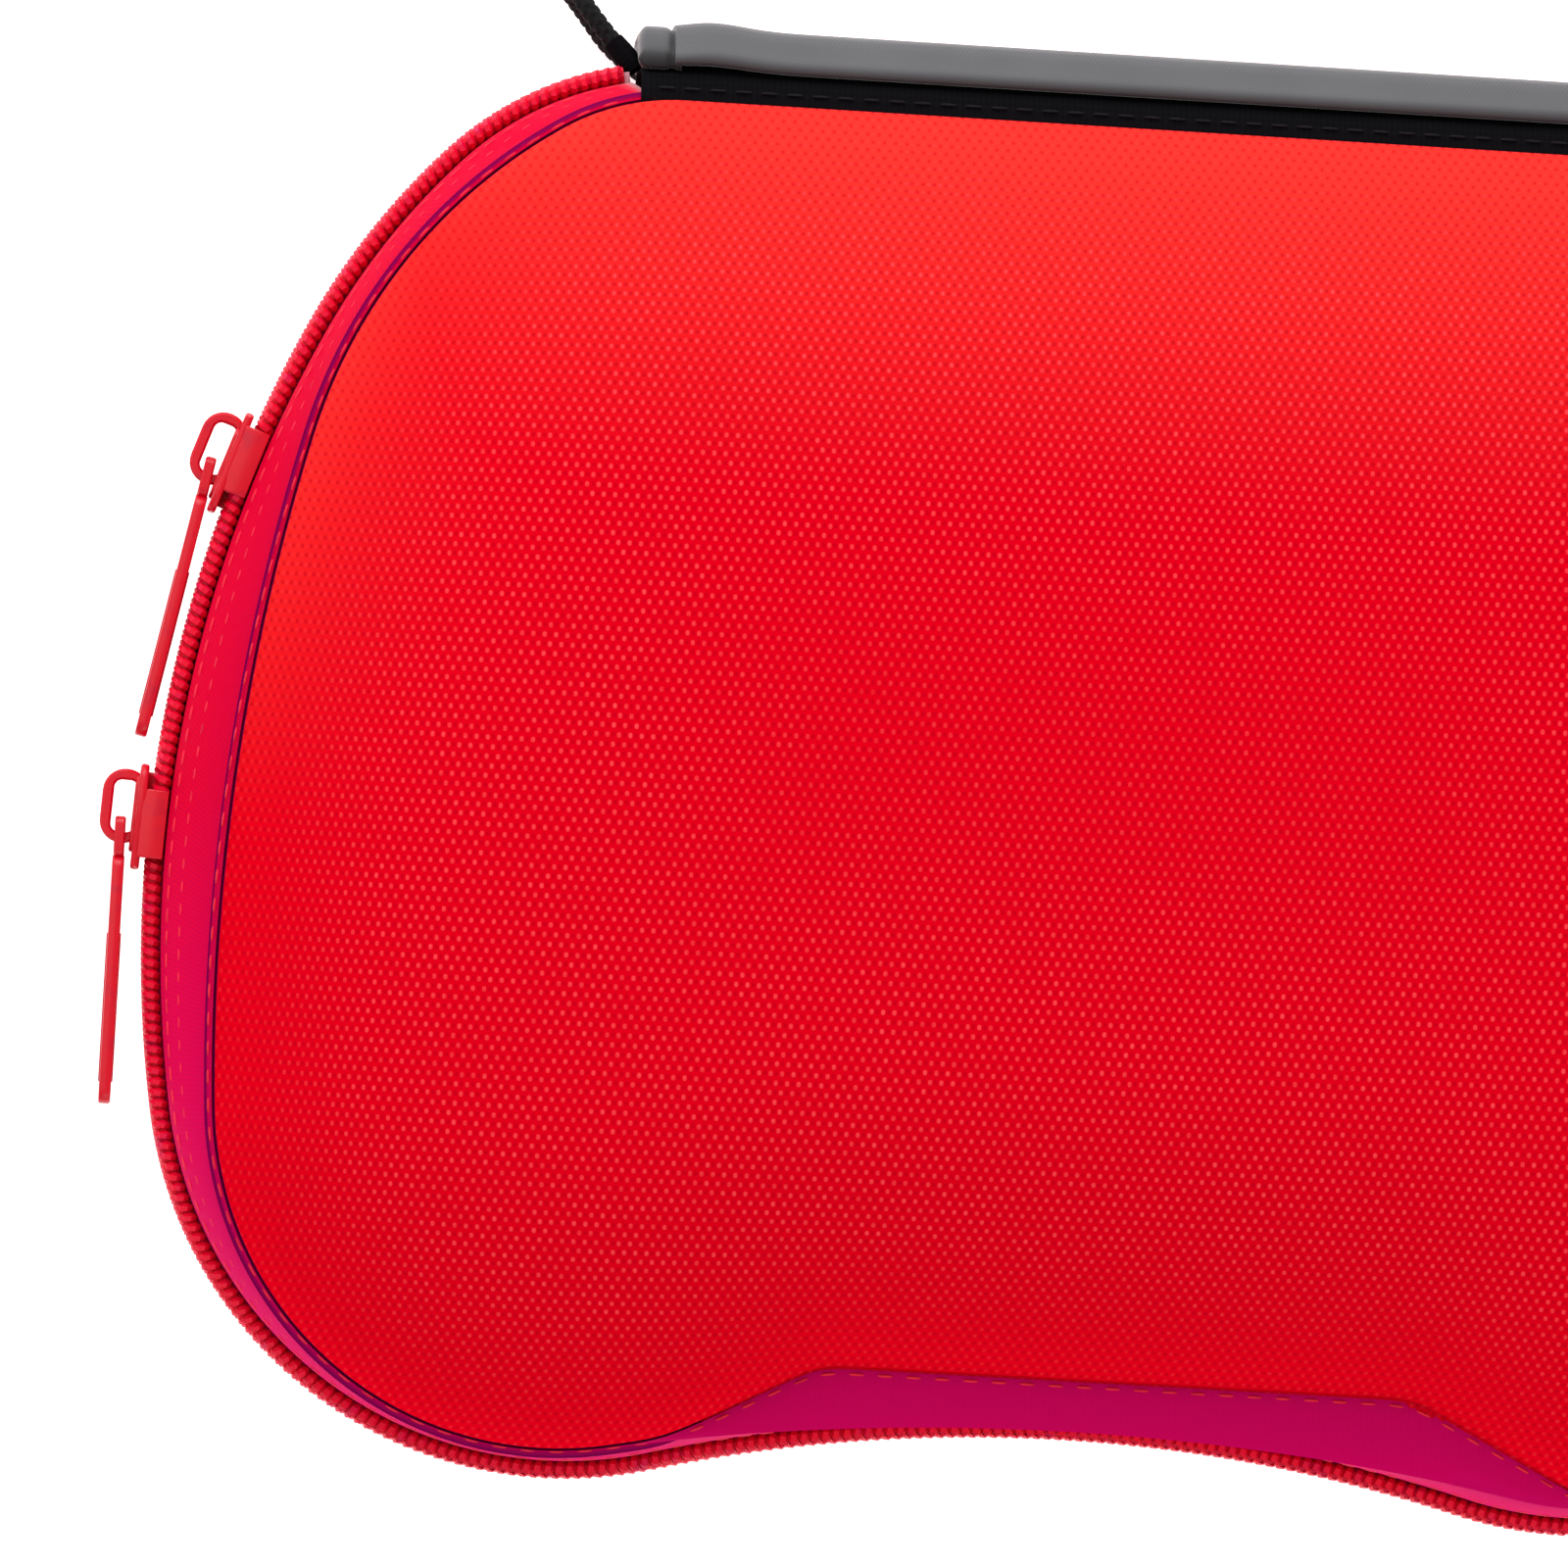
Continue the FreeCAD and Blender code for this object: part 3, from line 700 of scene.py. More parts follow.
def on_side(points, lid):
    """From heights over the parting plane to the frame: up for the lid, down for the base."""
    placed = np.array(points, float)
    placed[:, 2] = PARTING_Z + placed[:, 2] if lid else PARTING_Z - placed[:, 2]
    return placed


def thread_uv(dome, points):
    """Thread counts along the cloth, from the middle of the dome."""
    across = dome.sample(dome.cloth_x, points[:, :2]) / WARP_PITCH
    along = dome.sample(dome.cloth_y, points[:, :2]) / WEFT_PITCH
    return np.column_stack([across, along])


def make_shell(name, dome, lid, outer, inner, finish):
    """Closed shell between two depths, open towards the other half."""
    first, faces, cap, distance = skin(dome, outer)
    second, _, _, _ = skin(dome, inner)
    count = len(first)
    edge = np.arange(RING)
    follow = np.roll(edge, -1)
    seam = np.stack([follow, edge, edge + count, follow + count], axis=-1)
    points = np.concatenate([first, second])
    quads = [faces, faces[:, ::-1] + count, seam]
    caps = np.concatenate([cap, cap[:, ::-1] + count])
    # painted shade in the crease at the dome's foot, on the outer face only
    foot_gap = np.abs(points[:, 2] - FOOT_RISE)
    crease_shade = np.exp(-(foot_gap / 0.2) ** 2) * 0.5
    crease_shade[count:] = 0
    gap = np.concatenate([distance, distance])
    # strength of the painted highlight on each float: weak near the foot, full further in, weaker in
    # the middle of the dome
    float_highlight_share = 0.2 + 0.8 * np.clip((gap - 4) / 12, 0, 1)
    float_highlight_share *= 1 - 0.45 * np.clip((gap - 40) / 18, 0, 1)
    # painted highlight: paler towards the hinge side, and near the foot at the upper left
    painted_highlight = np.clip((points[:, 1] - 26) / 38, 0, 1) ** 1.5 * 0.85
    left = np.clip((-points[:, 0] - 40) / 50, 0, 1) * np.clip((points[:, 1] + 10) / 50, 0, 1)
    painted_highlight = np.maximum(painted_highlight, left * np.exp(-gap / 9) * 0.8)
    return make_piece(name, on_side(points, lid), quads + [caps], finish,
                      uv=thread_uv(dome, points),
                      marks={"crease_shade": crease_shade, "frayed": crease_shade * 0, "float_highlight_share": float_highlight_share,
                             "painted_highlight": painted_highlight}, sharp=60)


def made_shells():
    """Both shells and their linings, each on its own half."""
    for half, dome in (("lid", LID_DOME), ("base", BASE_DOME)):
        lid = half == "lid"
        shell = make_shell(half + "_cover", dome, lid, 0.0, SHELL_T, RED_FABRIC)
        lining_depth = SHELL_T + LINING_GAP
        lining = make_shell(half + "_inner_cloth", dome, lid, lining_depth,
                            lining_depth + LINING_T, LINING)
        for piece, node, slot in ((shell, "_shell", "red_fabric"), (lining, "_lining", "lining")):
            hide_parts(half + node)
            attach(piece, half)
        print(half, "shell points", len(shell.data.vertices))


made_shells()

# %% [markdown]
# ## The zip tape
# The band between the chain and the dome is the zip's own woven tape. It stands upright
# behind the coil, bends over the slider's path and slopes up to tuck under the dome's foot.
# At the front it also covers the flat ledge. It is one sheet, rows of points from the coil
# to the foot, and a Solidify modifier gives it its thickness.

# %% Tape bands
TAPE_INSET = 2.2
SHELF_INSET = 0.9           # the tape turns out under the coil, where the coil is sewn on
GROOVE = 0.3               # width of the dark groove outside the dome's foot
OPEN_HALF_X = 51.0


def open_part(rows):
    """Keep the columns of closed rings that lie outside the spine, in order."""
    first = rows[0]
    keep = (np.abs(first[:, 0]) > OPEN_HALF_X) | (first[:, 1] < 40)
    index = np.arange(len(first))[keep]
    return [row[index] for row in rows]


def lengths(row):
    """Distance along a row of points from its start."""
    steps = np.linalg.norm(np.diff(row[:, :2], axis=0), axis=1)
    return np.concatenate([[0], np.cumsum(steps)])


def slope_rise(share, tuck=TUCK):
    """Height of the tape's slope: a straight line plus half a sine."""
    return (KNEE_RISE + (FOOT_RISE - tuck - KNEE_RISE) * share
            + TAPE_PUFF * math.sin(math.pi * share))


def tape_rows():
    """Rows of the tape from the coil, up the slope, over the ledge and into the groove
    at the dome's foot; heights over the parting plane."""
    low = outline(ZIP, TAPE_INSET)
    high = outline(FOOT, -GROOVE)
    rows = [np.column_stack([low, np.full(RING, rise)]) for rise in (1.1, 2.0, 3.6, 4.5)]
    under = outline(ZIP, SHELF_INSET)
    rows.insert(0, np.column_stack([under, np.full(RING, 0.95)]))
    for share in (0.12, 0.3, 0.5, 0.7, 0.9):
        flat = low * (1 - share) + high * share
        rows.append(np.column_stack([flat, np.full(RING, slope_rise(share))]))
    foot = with_ledge(high, -GROOVE)
    for share, rise in ((0.0, -0.62), (0.35, -0.52), (0.7, -0.44), (1.0, -0.36)):
        rows.append(np.column_stack([high * (1 - share) + foot * share,
                                     np.full(RING, FOOT_RISE + rise)]))
    for inset, rise in ((-0.25, -0.66), (-0.08, -0.98), (0.4, -0.98), (1.4, -0.92)):
        tuck = with_ledge(outline(FOOT, inset), inset)
        rows.append(np.column_stack([tuck, np.full(RING, FOOT_RISE + rise)]))
    return open_part(rows)


def make_tape(half):
    """The tape of one half, ribbed across its length."""
    rows = tape_rows()
    cols = len(rows[0])
    run = lengths(rows[0])
    points = np.concatenate(rows)
    rise = np.cumsum([0] + [np.linalg.norm(b - a, axis=1).mean() for a, b in zip(rows, rows[1:])])
    uv = np.column_stack([np.tile(run, len(rows)), np.repeat(rise, cols)])
    # painted shade: dark under the coil, rising slowly up the slope, full in the groove at the dome's
    # foot
    crease_shade = np.repeat([0.6, 0.5, 0.25, 0.1, 0, 0, 0, 0.04, 0.08, 0.16, 0.2, 0.24, 0.28, 0.34,
                        0.95, 1.0, 1.0, 1.0], cols)
    edge = np.minimum(run, run[-1] - run)
    frayed = np.tile(np.exp(-(edge / 0.7) ** 2) * 0.8, len(rows))
    # painted shade: more magenta towards the front of the case
    front_shade = np.clip((-5 - points[:, 1]) / 55, 0, 1) * 0.95
    lid = half == "lid"
    faces = grid_faces(len(rows), cols)
    piece = make_piece(half + "_tape", on_side(points, lid), [faces if lid else faces[:, ::-1]],
                       RED_TAPE, uv=uv, closed=False, sharp=75,
                       marks={"crease_shade": crease_shade, "frayed": frayed, "front_shade": front_shade})
    thicken(piece, 0.85)
    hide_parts(half + "_zip_tape")
    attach(piece, half)


for half_name in ("lid", "base"):
    make_tape(half_name)

# %% [markdown]
# ## Paths round the case
# Coil, stitches and binding all follow the outline at an even pitch. `Path` holds one such
# line and gives a point, a direction and an outward direction at any length along it.

# %% Even paths
class Path:
    """A line through points, measured by length."""

    def __init__(self, points):
        self.points = np.asarray(points, float)
        steps = np.linalg.norm(np.diff(self.points, axis=0), axis=1)
        self.run = np.concatenate([[0], np.cumsum(steps)])
        self.length = self.run[-1]

    def at(self, run):
        """Points at lengths along the path."""
        return np.stack([np.interp(run, self.run, self.points[:, axis])
                         for axis in range(self.points.shape[1])], axis=-1)

    def heading(self, run):
        """Unit directions along the path, smoothed over 1 mm."""
        step = self.at(np.minimum(run + 0.5, self.length)) - self.at(np.maximum(run - 0.5, 0))
        return step / np.linalg.norm(step, axis=1, keepdims=True)


def zip_path(inset):
    """Open path round the case at an inset from the zip's outline."""
    row, = open_part([np.column_stack([outline(ZIP, inset), np.zeros(RING)])])
    return Path(row)


# %% [markdown]
# ## The coil
# A coil zip is one plastic wire wound into a flat spring and sewn along each tape. The wire
# is a tube round a helix: it circles once every pitch, wide across the chain and thin
# through it. Where the zip is closed the two springs reach past the middle and mesh half a
# pitch apart; between the sliders they stand apart.

# %% Coil wires
COIL_PITCH = 1.1
COIL_STEPS = 12             # points of the helix in one turn
WIRE_SIDES = 5
WIRE_R = 0.45
CORE_R = 0.8               # the cord that runs inside each coil
SLIDER_ANGLES = {"lower_slider": 2.9, "upper_slider": 19.0}
ARC_CENTRE = np.array([-(ZIP["x_max"] - ZIP["r_side"]), ZIP["y_side"]])
COIL_CENTRE = 1.75          # height of each coil's middle over the parting plane
COIL_REACH = 1.4            # half its width where it is free
MESH_SHIFT = 0.72           # how far a closed row moves to mesh with the other


def chain_place(angle, out=0.0):
    """Point in the plan on the left side arc, out from the chain's outer face."""
    turn = math.radians(180 - angle)
    radius = ZIP["r_side"] + out
    return ARC_CENTRE + radius * np.array([math.cos(turn), math.sin(turn)])


def closed_share(points):
    """1 where the zip is closed and 0 between the sliders, smooth inside each slider."""
    low = chain_place(SLIDER_ANGLES["lower_slider"])[1]
    high = chain_place(SLIDER_ANGLES["upper_slider"])[1]
    below = 1 / (1 + np.exp((points[:, 1] - low - 1.0) / 0.8))
    above = 1 / (1 + np.exp((high - 1.0 - points[:, 1]) / 0.8))
    return np.where(points[:, 0] < 0, np.maximum(below, above), 1.0)


def tube(centres, radius, sides):
    """Tube round a line of centres: rows of points on small circles across the line."""
    along = np.gradient(centres, axis=0)
    along /= np.linalg.norm(along, axis=1, keepdims=True)
    guide = np.array([0.31, 0.52, 0.8])
    side = np.cross(along, guide)
    side /= np.linalg.norm(side, axis=1, keepdims=True)
    up = np.cross(along, side)
    turn = np.linspace(0, 2 * math.pi, sides, endpoint=False)
    size = np.asarray(radius, float).reshape(-1, 1, 1)
    circle = np.cos(turn)[None, :, None] * side[:, None] + np.sin(turn)[None, :, None] * up[:, None]
    return (centres[:, None] + circle * size).reshape(-1, 3)


def tube_faces(rows, sides):
    """Faces of a tube and its two end caps."""
    ends = [np.arange(sides)[None, ::-1], (rows - 1) * sides + np.arange(sides)[None]]
    return [grid_faces(rows, sides, wrap=True), np.concatenate(ends)]


def make_coil(half):
    """One half's spring, meshed with the other where the zip is closed."""
    lid = half == "lid"
    path = zip_path(1.15)
    run = np.arange(0.6, path.length - 0.6, COIL_PITCH / COIL_STEPS)
    base = path.at(run)
    heading = path.heading(run)
    outward = np.column_stack([heading[:, 1], -heading[:, 0], np.zeros(len(run))])
    turn = 2 * math.pi * run / COIL_PITCH + (0 if lid else math.pi)
    closed = closed_share(base)
    rise = COIL_CENTRE + 0.3 * (1 - closed) - MESH_SHIFT * closed + COIL_REACH * np.sin(turn)
    centres = base + outward * (0.61 * np.cos(turn))[:, None]
    centres[:, 2] = rise
    core_run = run[::COIL_STEPS // 2]
    core = centres[::COIL_STEPS // 2].copy()
    core[:, :2] = base[::COIL_STEPS // 2, :2]
    core[:, 2] -= COIL_REACH * np.sin(turn[::COIL_STEPS // 2])
    wire = (tube(centres, WIRE_R, WIRE_SIDES), tube_faces(len(run), WIRE_SIDES))
    filler = (tube(core, CORE_R, 8), tube_faces(len(core_run), 8))
    points, sets = joined([turned_out(*wire), turned_out(*filler)])
    piece = make_piece(half + "_coil", on_side(points, lid),
                       sets if lid else [faces[:, ::-1] for faces in sets], RED_COIL, closed=False)
    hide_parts(half + "_zip_teeth")
    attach(piece, half)
    print(half, "coil turns", int(path.length / COIL_PITCH))


for half_name in ("lid", "base"):
    make_coil(half_name)

# %% [markdown]
# ## Stitching
# Lines of thread hold the tape to the shell. A stitch is a short capsule that dips at both
# ends, so a seam is the same few faces placed again and again along a path.

# %% Stitch lines
STITCH_RINGS = np.array([-1.0, -0.86, -0.5, 0.0, 0.5, 0.86, 1.0])
STITCH_SWELL = np.array([0.25, 0.7, 0.95, 1.0, 0.95, 0.7, 0.25])
STITCH_SIDES = 6


def make_stitches(name, path, pitch, length, radius, body, finish, lift=(0, 0, 1)):
    """Capsules along a path: each ring is a circle across the path, dipping at the ends."""
    runs = np.arange(pitch, path.length - pitch, pitch)
    spot = path.at(runs)
    heading = path.heading(runs)
    up = np.tile(np.asarray(lift, float), (len(runs), 1))
    up -= (up * heading).sum(1, keepdims=True) * heading
    up /= np.linalg.norm(up, axis=1, keepdims=True)
    side = np.cross(heading, up)
    turn = np.linspace(0, 2 * math.pi, STITCH_SIDES, endpoint=False)
    dip = -0.6 * radius * STITCH_RINGS ** 2
    reach = STITCH_RINGS * length / 2
    ring = (np.cos(turn)[:, None] * side[:, None] + np.sin(turn)[:, None] * up[:, None]) * radius
    middle = (spot[:, None] + heading[:, None] * reach[:, None] + up[:, None] * dip[:, None])
    points = middle[:, :, None] + ring[:, None] * STITCH_SWELL[None, :, None, None]
    each = len(STITCH_RINGS) * STITCH_SIDES
    quads, ends = tube_faces(len(STITCH_RINGS), STITCH_SIDES)
    shift = (np.arange(len(runs)) * each)[:, None, None]
    sets = [(quads[None] + shift).reshape(-1, 4), (ends[None] + shift).reshape(-1, STITCH_SIDES)]
    piece = make_piece(name, points.reshape(-1, 3), sets, finish)
    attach(piece, body)
    return piece


def seam_path(share, half):
    """Path along the tape's slope: share 0 is the knee by the coil, 1 the dome's foot."""
    low, high = outline(ZIP, TAPE_INSET), outline(FOOT, 0.1)
    flat = low * (1 - share) + high * share
    rise = slope_rise(share, TUCK + 0.1) + 0.06
    row, = open_part([np.column_stack([flat, np.full(RING, rise)])])
    return Path(on_side(row, half == "lid"))


def foot_path(half):
    """Path on the tape beside the dome's foot: on the slope, or flat along the ledge."""
    low, high = outline(ZIP, TAPE_INSET), outline(FOOT, -GROOVE)
    flat = low * 0.08 + high * 0.92
    moved = with_ledge(flat, -GROOVE - 0.5)
    share = np.clip((moved[:, 1] - flat[:, 1]) / 1.2, 0, 1)
    rise = slope_rise(0.92) * (1 - share) + (FOOT_RISE - 0.36) * share + 0.07
    row, = open_part([np.column_stack([moved, rise])])
    return Path(on_side(row, half == "lid"))


for half_name in ("lid", "base"):
    upward = (0, 0, 1 if half_name == "lid" else -1)
    for seam_name, seam_share in (("_seam_outer", 0.10), ("_seam_inner", 0.32)):
        make_stitches(half_name + seam_name, seam_path(seam_share, half_name), 2.3, 1.5, 0.13,
                      half_name, RED_THREAD, upward)
    make_stitches(half_name + "_seam_foot", foot_path(half_name), 2.9, 1.5, 0.14,
                  half_name, RED_THREAD, upward)

# %% [markdown]
# ## Sliders and pulls
# Each slider is a die-cast body on the outside of the chain with an arch on its back. The
# pull is a flat tab whose slotted eye goes round the arch. Plates and tabs are outlines
# raised between two faces with a small chamfer; the arch is a flat bar swept along a D.

# %% Die-cast parts
PULL_PIVOT_OUT = 2.6
ARCH_SHIFT = 0.9
PIVOT_DOWN = 1.6
PLATE_GAP = 0.25


def loop_normals(loop):
    """Outward directions at the points of a closed loop that runs anticlockwise."""
    step = np.roll(loop, -1, axis=0) - np.roll(loop, 1, axis=0)
    normal = np.stack([step[:, 1], -step[:, 0]], axis=-1)
    return normal / np.linalg.norm(normal, axis=1, keepdims=True)


def raised(loop, low, high, chamfer):
    """A loop in a plane raised from low to high, with chamfered rims: points (u, v, w)."""
    inner = loop - loop_normals(loop) * chamfer
    soft = loop - loop_normals(loop) * chamfer * 0.3
    rows = [(inner, low), (soft, low + chamfer * 0.3), (loop, low + chamfer),
            (loop, high - chamfer), (soft, high - chamfer * 0.3), (inner, high)]
    points = np.concatenate([np.column_stack([flat, np.full(len(loop), w)]) for flat, w in rows])
    count = len(loop)
    ends = [np.arange(count)[None, ::-1], 5 * count + np.arange(count)[None]]
    return points, [grid_faces(6, count, wrap=True), np.concatenate(ends)]


def raised_ring(outer, inner, low, high, chamfer):
    """The space between two loops with as many points, raised, with chamfered rims."""
    grow = loop_normals(inner) * chamfer
    shrink = loop_normals(outer) * chamfer
    rows = [(outer - shrink, low), (outer, low + chamfer), (outer, high - chamfer),
            (outer - shrink, high), (inner + grow, high), (inner, high - chamfer),
            (inner, low + chamfer), (inner + grow, low)]
    points = np.concatenate([np.column_stack([flat, np.full(len(outer), w)]) for flat, w in rows])
    count = len(outer)
    quads = grid_faces(8, count, wrap=True)
    close = np.stack([7 * count + np.arange(count), 7 * count + np.roll(np.arange(count), -1),
                      np.roll(np.arange(count), -1), np.arange(count)], axis=-1)
    return points, [np.concatenate([quads, close])]


def rounded_box(half_u, half_v, radius, centre=(0, 0), steps=6):
    """Anticlockwise loop of a rectangle with round corners."""
    corners = []
    for turn, (su, sv) in zip((0, 90, 180, 270), ((1, 1), (-1, 1), (-1, -1), (1, -1))):
        hub = np.array([su * (half_u - radius), sv * (half_v - radius)])
        corners.append(hub + radius * unit(np.linspace(turn, turn + 90, steps)))
    return np.concatenate(corners) + centre


def to_chain(points, angle):
    """From (out, along, height) beside the chain to the frame, at an angle up the arc."""
    turn = math.radians(180 - angle)
    out = np.array([math.cos(turn), math.sin(turn)])
    up = np.array([math.sin(turn), -math.cos(turn)])
    flat = chain_place(angle) + points[:, [0]] * out + points[:, [1]] * up
    return np.column_stack([flat, PARTING_Z + points[:, 2]])


def plate_loop(front):
    """Slider plate seen from outside: a shield, wider where the rows part."""
    along = np.array([-5.4, -5.0, -3.0, 0.0, 2.6, 4.4, 5.2, 5.4]) * front
    wide = np.array([2.6, 3.2, 3.5, 4.1, 4.4, 4.2, 3.6, 2.8])
    loop = np.concatenate([np.column_stack([along, -wide]),
                           np.column_stack([along, wide])[::-1]])
    return loop if front > 0 else loop[::-1]


def slider_parts(front):
    """Plates, flanges, wedge and arch in (out, along, height) beside the chain."""
    def standing(loop, low, high, chamfer):
        points, sets = raised(loop, low, high, chamfer)
        return turned_out(points[:, [2, 0, 1]], sets)
    plate = plate_loop(front)
    parts = [standing(plate, PLATE_GAP, 1.15, 0.28), standing(plate * 0.97, -4.6, -3.65, 0.25)]
    hump = rounded_box(3.9, 1.9, 1.2, (0.2 * front, 0))
    parts.append(standing(hump, 0.9, 1.5, 0.25))
    wedge = rounded_box(1.6, 0.42, 0.3, (3.0 * front, 0))
    parts.append(standing(wedge, -3.8, 0.4, 0.05))
    for side in (-1, 1):
        lip = rounded_box(3.5, 0.4, 0.2, (-0.6 * front, side * 3.85))
        parts.append(standing(lip, -2.0, 0.6, 0.12))
    outer = rounded_box(2.35, 3.8, 2.3, (2.4, ARCH_SHIFT), 8)
    inner = rounded_box(1.2, 2.65, 0.8, (2.4, ARCH_SHIFT), 8)
    points, sets = raised_ring(outer, inner, -1.0, 1.0, 0.25)
    parts.append(turned_out(points, sets))
    return parts


def pull_parts():
    """Pull in (out, along, height) from its pivot, hanging down the chain."""
    def lying(points, sets):
        return turned_out(points[:, [2, 0, 1]], sets)
    outer = rounded_box(2.1, 2.0, 0.9, (-1.55, 0), 6)
    inner = rounded_box(1.45, 1.3, 0.5, (-2.0, 0), 6)
    parts = [lying(*raised_ring(outer, inner, -0.55, 0.55, 0.18))]
    tab = rounded_box(12.7, 2.3, 1.5, (-16.1, 0), 7)
    parts.append(lying(*raised(tab, -0.62, 0.62, 0.22)))
    grip = rounded_box(7.6, 1.5, 1.0, (-19.0, 0), 6)
    for face in (-0.62, 0.62):
        low, high = sorted((face * 0.9, face * 1.2))
        parts.append(lying(*raised(grip, low, high, 0.05)))
    return parts


def make_slider(name, front, lean):
    """A slider and its pull at their places on the chain."""
    angle = SLIDER_ANGLES[name]
    points, sets = joined(slider_parts(front))
    body = make_piece(name + "_body", to_chain(points, angle), sets, RED_ENAMEL, closed=False)
    points, sets = joined(pull_parts())
    turn = math.radians(lean)
    out, along = points[:, 0].copy(), points[:, 1].copy()
    points[:, 0] = out * math.cos(turn) + along * math.sin(turn) + PULL_PIVOT_OUT
    points[:, 1] = along * math.cos(turn) - out * math.sin(turn) + ARCH_SHIFT - PIVOT_DOWN
    pull = make_piece(name.replace("slider", "pull") + "_tab", to_chain(points, angle), sets,
                      RED_ENAMEL, closed=False)
    for piece, node in ((body, name), (pull, name.replace("slider", "pull"))):
        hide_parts(node)
        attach(piece, node)


make_slider("lower_slider", 1, 2.9)
make_slider("upper_slider", -1, 8.0)

# %% [markdown]
# ## The black spine
# A strip of black cloth is the hinge. It crosses two fold lines, so it is made as two
# pieces that meet in its middle. Each is a profile in the YZ plane carried along X.

# %% Spine cloth
SPINE_HALF_X = 50.9
FOLD_RISE = 8.0             # height of each fold line over the parting plane
SPINE_PROFILE = [(66.9, 9.7), (67.9, 9.55), (68.7, 9.3), (69.4, 8.95), (70.1, 8.4), (70.7, 7.7),
                 (71.2, 6.9), (71.65, 6.0), (72.0, 5.0), (72.2, 3.8), (72.2, 2.0), (72.2, -0.03)]


def make_spine(half):
    """Half of the spine's cloth, from the rim to the middle of the spine: the profile of
    (y, rise) carried along X, with a slight wave where it is sewn to the rim."""
    lid = half == "lid"
    x_values = np.linspace(-SPINE_HALF_X, SPINE_HALF_X, 120)
    rows = []
    for index, (y, rise) in enumerate(SPINE_PROFILE):
        wave = 0.05 * np.sin(x_values * 0.35 + index) * (index < 5)
        rows.append(np.column_stack([x_values, y + wave, np.full(len(x_values), rise)]))
    points = np.concatenate(rows)
    run = lengths(np.array(SPINE_PROFILE))
    uv = np.column_stack([points[:, 0], np.repeat(run, len(x_values))])
    faces = grid_faces(len(rows), len(x_values))
    zero = np.zeros(len(points))
    piece = make_piece(half + "_spine_cloth", on_side(points, lid),
                       [faces if lid else faces[:, ::-1]], BLACK_FABRIC, uv=uv, closed=False,
                       marks={"crease_shade": zero, "frayed": zero})
    thicken(piece, 0.8)
    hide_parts(half + "_spine_flap", "spine_strip")
    side = 1 if lid else -1
    fold = PARTING_Z + side * FOLD_RISE
    (fold + side * 1.2) * MM
    (fold - side * 0.8) * MM
    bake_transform(piece)


for half_name in ("lid", "base"):
    make_spine(half_name)
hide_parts("spine_stiffener")

# %% [markdown]
# ## The padded strap
# The carry strap is foam in a smooth cover, sewn flat at both ends. Its section is a
# superellipse, which is a rounded lozenge. Fingers lift its middle while its ends stay, so
# it is three pieces: a middle that moves and two ends between the spine and it.

# %% Strap
STRAP_Y = 74.0
STRAP_HALF_T = 1.62
STRAP_HALF_W = 8.75
STRAP_LEAN = 2.3            # how far its top and bottom edges lean over the spine
STRAP_END_X = 47.6
FLEX_X = 20.0
STRAP_SIDES = 40


def superellipse(turn, exponent):
    """Across and along of |a| ** exponent + |b| ** exponent = 1, and how near each point is
    to the long ends, where the section leans."""
    power = 2 / exponent
    cos = np.sign(np.cos(turn)) * np.abs(np.cos(turn)) ** power
    sin = np.sign(np.sin(turn)) * np.abs(np.sin(turn)) ** power
    return cos, sin, smooth(np.clip((np.abs(sin) - 0.55) / 0.45, 0, 1))


def strap_section(x):
    """Half thickness, half width and middle of the strap at x."""
    from_end = STRAP_END_X - np.abs(x)
    pinch = 1 - 0.1 * np.exp(-(from_end / 2.2) ** 2)
    hump = 0.5 * np.exp(-((x + 43.8) / 4.5) ** 2)
    thick = STRAP_HALF_T * pinch + 0.25 * hump
    return thick, STRAP_HALF_W * (0.98 + 0.02 * pinch), STRAP_Y + hump


def strap_rows(x_values):
    """Rings round the strap: a superellipse in Y and Z, exponent 2.6."""
    turn = np.linspace(0, 2 * math.pi, STRAP_SIDES, endpoint=False)
    cos, sin, edge = superellipse(turn, 2.6)
    thick, wide, middle = strap_section(x_values)
    y = middle[:, None] + thick[:, None] * cos - STRAP_LEAN * edge
    z = PARTING_Z + wide[:, None] * sin
    x = np.repeat(x_values[:, None], STRAP_SIDES, axis=1)
    return np.stack([x, y, z], axis=-1).reshape(-1, 3), turn


def make_strap(name, x0, x1, steps):
    """A stretch of the strap from x0 to x1 with closed ends."""
    x_values = np.linspace(x0, x1, steps)
    points, turn = strap_rows(x_values)
    around = np.tile(turn / (2 * math.pi) * 30, steps)
    uv = np.column_stack([points[:, 0], around])
    # painted shade on the side of the strap that faces the spine
    spine_side_shade = np.tile(np.clip((0.35 - np.cos(turn)) / 1.0, 0, 1), steps)
    piece = make_piece(name, points, tube_faces(steps, STRAP_SIDES), STRAP_FABRIC, uv=uv,
                       marks={"spine_side_shade": spine_side_shade})
    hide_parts("strap_cover", "strap_core")
    return piece


middle_strap = make_strap("strap_middle", -FLEX_X, FLEX_X, 30)
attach(middle_strap, "carry_strap")
for side_name, side_sign in (("left", -1), ("right", 1)):
    span = sorted((side_sign * FLEX_X, side_sign * STRAP_END_X))
    flex = make_strap("strap_" + side_name, *span, 40)
    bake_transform(flex)

# %% [markdown]
# The strap's ends are folded under and sewn through a box of webbing. The folded end is a
# short, tighter superellipse with a crease, and a cross of stitches holds it to the spine.

# %% Strap ends and their seams
END_X = (46.9, 51.35)       # from under the strap to the fold
END_Y = 73.85
END_HALF_T = 1.58
END_HALF_W = 8.4
END_LEAN = 2.0


